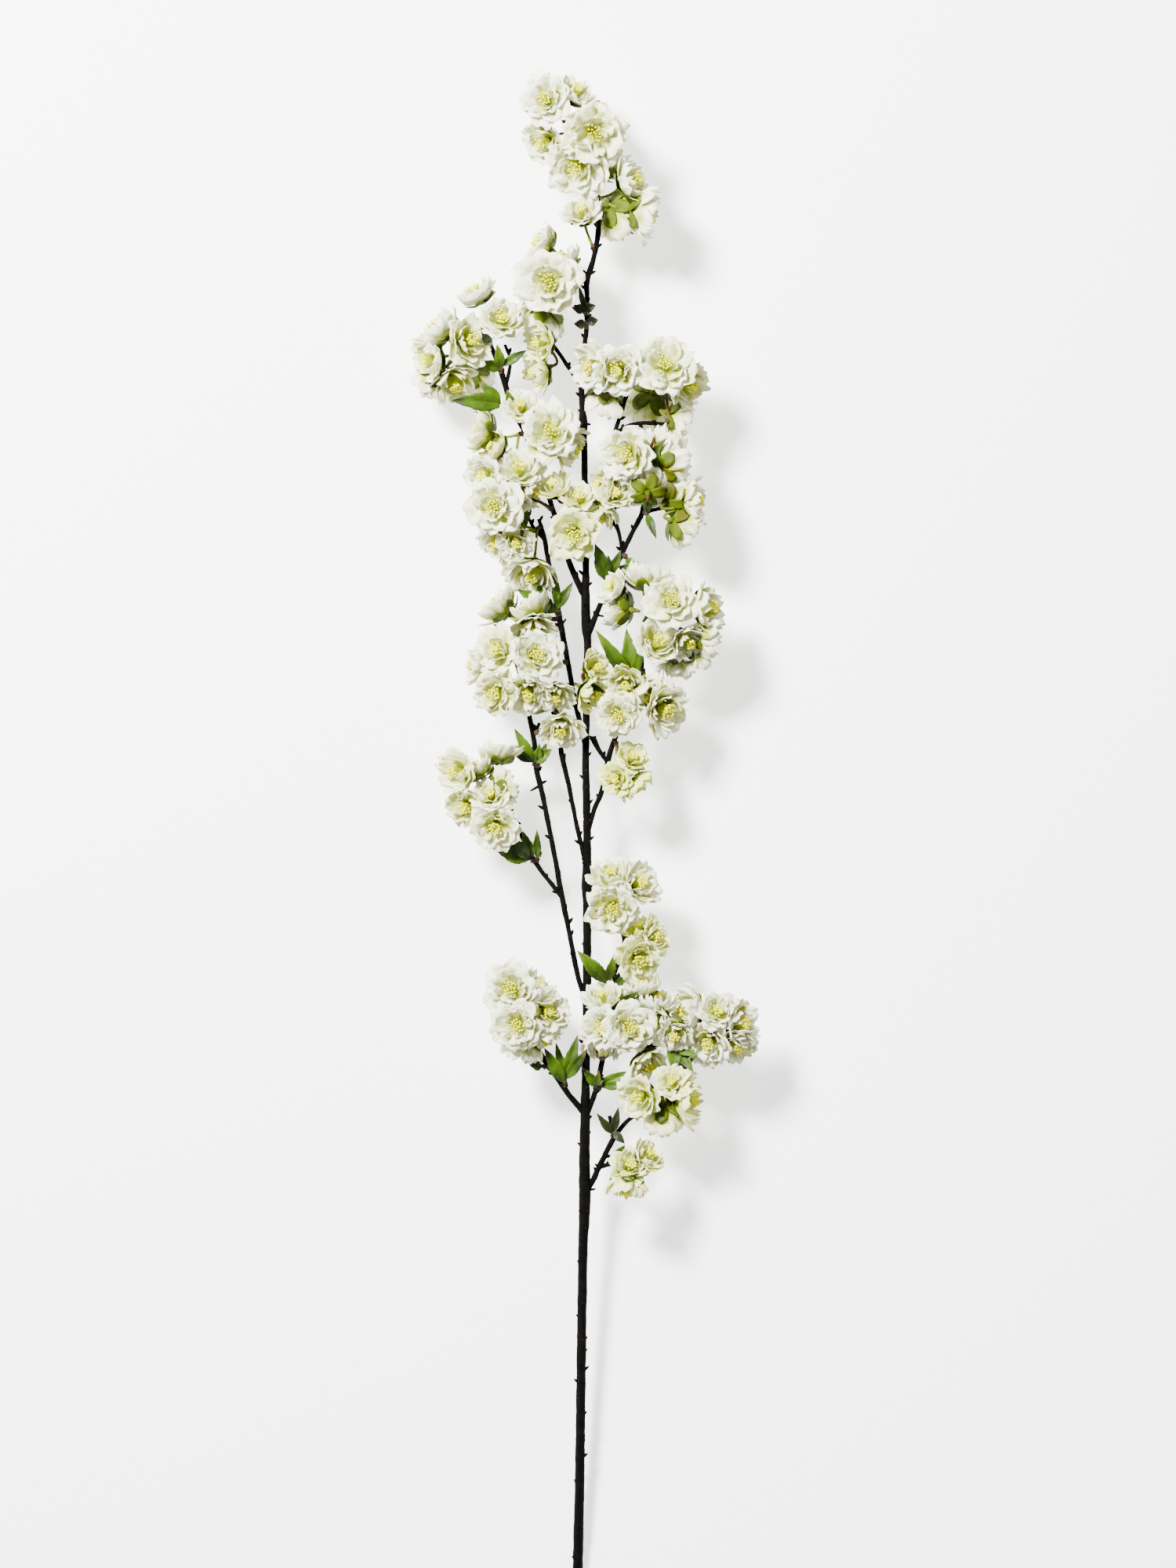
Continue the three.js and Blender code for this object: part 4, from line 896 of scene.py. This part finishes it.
for letter, blooms in bunches.items():
    draw = random.Random(f"stamens {letter}")
    points, faces, is_anther = [], [], []
    for bloom in blooms:
        for index in range(STAMENS):
            turn = index * GOLDEN_TURN
            spread = HEART_SPREAD * math.sqrt((index + 0.5) / STAMENS) * bloom.radius
            spread *= draw.uniform(*HEART_SPREADS)
            base = bloom.at(turn, spread * ROOT_SPREAD, (bloom.shape["back"] + ROOT_RISE) * bloom.radius)
            height = (bloom.shape["middle"] + draw.uniform(*TIP_RISES)) * bloom.radius
            tip = bloom.at(turn, spread, height)
            turned = (tip - base).to_track_quat("Z", "Y")
            length = (tip - base).length
            for (part_points, part_faces), root, stretch, value in (
                    (thread_part, base, length, 0.0), (anther_part, tip, 1.0, 1.0)):
                first = len(points)
                size = Vector((1, 1, stretch))
                points += [root + turned @ (point * size) for point in part_points]
                faces += [[first + number for number in face] for face in part_faces]
                is_anther += [value] * len(part_points)
    for point in points:
        point.z = max(point.z, ANTHER_CLEARANCE)
    mesh = bpy.data.meshes.new(f"stamens_{letter}")
    mesh.from_pydata(points, [], faces)
    mesh.attributes.new("anther", "FLOAT", "POINT").data.foreach_set("value", is_anther)
    show(f"stamens_{letter}", mesh, stamen_finish, "petals")


# The leaves: small green toothed blades folded along the rib, in tufts that each grow from a brown bud on
# the wood. A tuft is the place of its bud and its leaves, and a leaf is its tip across and down, the tip's
# rise over the root and its width, both in millimetres.
TUFTS = {
    "stem_bud": ((748, 402), [(728, 391, 8, 6), (760, 390, 9, 6)]),
    "upper_left": ((649, 518), [(576, 512, 16, 11), (610, 487, 6, 7)]),
    "upper_left_tip": ((641, 478), [(612, 462, 8, 7), (634, 440, 12, 6), (672, 447, 6, 6)]),
    "long_right_end": ((813, 604), [(850, 560, 20, 7)]),
    "long_right_middle": ((772, 748), [
        (759, 694, 13, 10), (776, 708, 7, 6), (792, 702, 12, 7), (815, 716, 4, 6)]),
    "left_arm": ((714, 788), [(660, 752, 14, 11), (731, 742, 8, 6)]),
    "lower_right": ((807, 878), [(760, 804, 16, 9), (799, 802, 10, 10), (822, 812, 14, 6)]),
    "long_left": ((684, 981), [(656, 929, 10, 7), (650, 950, 4, 8), (704, 956, 11, 9)]),
    "left_fork": ((684, 1102), [(667, 1060, 10, 7), (630, 1082, 9, 11), (648, 1066, 16, 8)]),
    "middle_right_top": ((779, 1262), [(736, 1212, 12, 9), (784, 1216, 16, 6)]),
    "low_left": ((720, 1390), [
        (694, 1336, 12, 8), (709, 1330, 7, 6), (737, 1320, 10, 8), (749, 1338, 14, 7)]),
    "low_left_end": ((700, 1362), [(675, 1358, 8, 6)]),
    "middle_right_low": ((760, 1394), [(743, 1362, 9, 6), (799, 1367, 8, 8), (805, 1382, 12, 6)]),
    "middle_right_side": ((850, 1372), [(889, 1344, 4, 8)]),
}
SMALL_LEAVES = {
    "stem_bud_low": ((747, 421), [(732, 413, 5, 6), (763, 408, 4, 6)]),
    "stem_bud_small": ((748, 405), [(738, 364, 10, 3.5)]),
    "left_arm_small": ((714, 788), [(706, 722, 12, 5)]),
    "long_left_small": ((684, 981), [(688, 948, 14, 5), (698, 946, 9, 4)]),
    "left_fork_small": ((684, 1102), [(685, 1058, 14, 5), (691, 1086, 6, 4)]),
    "middle_right_small": ((779, 1262), [(804, 1244, 9, 5), (790, 1240, 6, 4)]),
    "middle_right_low_small": ((760, 1394), [(764, 1366, 14, 5)]),
    "low_right_small": ((783, 1455), [(761, 1420, 9, 5), (789, 1412, 8, 5), (797, 1459, 7, 5)]),
    "long_right_grass": ((776, 605), [(764, 572, 6, 4), (771, 558, 8, 5), (778, 566, 5, 4)]),
    "lower_right_end": ((821, 818), [(829, 774, 26, 7)]),
    "low_right_twig": ((783, 1488), [(797, 1460, 18, 9), (776, 1478, 10, 6)]),
    "stem_middle": ((749, 880), [(765, 856, 22, 4.5), (772, 884, 14, 4)]),
    "long_right_lobe": ((822, 652), [(837, 688, 14, 5), (826, 628, 22, 5)]),
    "left_fork_end": ((641, 1024), [(606, 1046, 26, 6), (620, 1032, 30, 5), (650, 1008, 24, 5)]),
    "upper_left_end": ((627, 443), [(614, 420, 26, 6)]),
    "left_arm_end": ((702, 735), [(681, 768, 14, 6), (678, 748, 20, 4.5)]),
    "upper_left_side": ((652, 522), [(647, 498, 12, 4.5)]),
    "upper_left_under": ((674, 641), [(672, 668, 14, 5), (664, 690, 16, 4.5)]),
    "long_left_end": ((674, 905), [(696, 908, 20, 5)]),
    "long_left_side": ((684, 935), [(702, 932, 16, 5)]),
    "middle_right_under": ((848, 1370), [(836, 1391, 16, 6)]),
    "long_right_under": ((794, 705), [(812, 728, 12, 5)]),
    "middle_right_side_low": ((862, 1336), [(884, 1366, 20, 9), (860, 1370, 20, 9), (890, 1346, 24, 7)]),
    "middle_right_gap": ((806, 1290), [(814, 1264, 26, 7), (826, 1284, 28, 6)]),
    "middle_right_bract": ((769, 1352), [(760, 1336, 22, 5)]),
}
TUFT_PEG = 0.007
LEAVES_START = 0.3
LEAVES_SPAN = 0.6
LEAF_SWELL = 1.14
LEAF_FOLD = 0.35
LEAF_ARCH = 0.10
LEAF_ALONG = 20
LEAF_ACROSS = 6
LEAF_THICKNESS = 0.0003
LEAF_TOOTH = 0.16
LEAF_RIPPLE = 0.03
LEAF_TIP_WIDTH = 0.0001
LEAF_ROOT_WIDTH = 0.0004
SIDE_VEINS = 11
VEIN_SLANT = 9
# How dark and brown the leaves of a tuft are, where they are the old small ones by a bud.
DARK_TUFTS = {"stem_bud": 0.75, "stem_bud_low": 0.75, "stem_bud_small": 0.75, "low_right_small": 0.85}

leaf_finish = Finish("veined leaf", 0.45, Specular_IOR_Level=0.25)
leaf_across, leaf_along, _ = leaf_finish.axes(leaf_finish.uv)
from_rib = abs(leaf_across - 0.5)
side_veins = (leaf_along * SIDE_VEINS - from_rib * VEIN_SLANT).fraction() - 0.5
vein_lines = abs(side_veins).band(0.10, 0.0) * from_rib.band(0.5, 0.3)
rib_line = from_rib.band(0.05, 0.0)
leaf_patches = leaf_finish.noise(45, 3.0).band(0.35, 0.65)
leaf_green = leaf_patches.blend(colour(18, 36, 0), colour(60, 88, 0))
leaf_tips = leaf_along.band(0.72, 1.0) * leaf_finish.noise(30, 1.0).band(0.45, 0.6) * 0.7
leaf_aged = leaf_tips.blend(leaf_green, colour(104, 76, 12))
leaf_veined = ((vein_lines + rib_line) * 0.45).blend(leaf_aged, colour(84, 104, 4))
leaf_dark = leaf_finish.attribute("darkness").blend(leaf_veined, colour(18, 16, 8))
leaf_finish.feed("Base Color", leaf_dark)
leaf_finish.bump(vein_lines * -1 + rib_line * -1.5 + leaf_finish.noise(700, 2.0) * 0.3, 0.5, 0.0005)


def add_leaf(shape, layer, darkness, root, tip, width):
    length = (tip - root).length
    ahead = (tip - root).normalized()
    across = Vector((0, 0, 1)).cross(ahead).normalized()
    up = ahead.cross(across)
    grid = bmesh.ops.create_grid(
        shape, x_segments=LEAF_ACROSS, y_segments=LEAF_ALONG, size=0.5, calc_uvs=True)
    for vertex in grid["verts"]:
        sideways, along = vertex.co.x * 2, vertex.co.y + 0.5
        # A leaf is widest a little before its middle, and pointed at both ends.
        half = 0.0
        if 0 < along < 1:
            half = LEAF_SWELL * width / 2 * math.sin(math.pi * along**0.85) ** 0.95
        tooth = (along * LEAF_ALONG / 2) % 1
        half *= 1 + LEAF_TOOTH * (1 - tooth) * (abs(sideways) > 0.9) * (0.12 < along < 0.95)
        half = max(half, LEAF_ROOT_WIDTH * (1 - along) + LEAF_TIP_WIDTH)
        out = sideways * half
        rise = LEAF_ARCH * length * math.sin(math.pi * along) + abs(out) * LEAF_FOLD
        rise += LEAF_RIPPLE * width * math.sin(along * 17 + sideways * 2)
        vertex.co = root + ahead * along * length + across * out + up * rise
        vertex[layer] = darkness


leaf_pegs = []
for tufts, in_frame in ((TUFTS, True), (SMALL_LEAVES, False)):
    for name, (spot, leaves) in tufts.items():
        wood, _ = on_wood(*spot)
        tips = [place(across, down, wood.z * 1000 + rise) for across, down, rise, _ in leaves]
        start, ahead = peg_at(spot, tips)
        leaf_pegs.append((start, ahead, TUFT_PEG))
        shape = bmesh.new()
        shape.loops.layers.uv.new("leaf")
        layer = shape.verts.layers.float.new("darkness")
        for index, (tip, (_, _, _, width)) in enumerate(zip(tips, leaves)):
            share = LEAVES_START + LEAVES_SPAN * (index + 0.5) / len(leaves)
            root = start + ahead * TUFT_PEG * share
            add_leaf(shape, layer, DARK_TUFTS.get(name, 0.0), root, tip, width / 1000)
        mesh = bpy.data.meshes.new(f"leaf_tuft_{name}")
        shape.to_mesh(mesh)
        shape.free()
        nodes = [f"leaves_{name}"] if in_frame else []
        piece = show(f"leaf_tuft_{name}", mesh, leaf_finish, "leaves", *nodes)
        thickness = piece.modifiers.new("thickness", "SOLIDIFY")
        thickness.thickness = LEAF_THICKNESS
        thickness.offset = 0

show("leaf_buds", scales_mesh("leaf_buds", leaf_pegs), knot_finish, "bark")
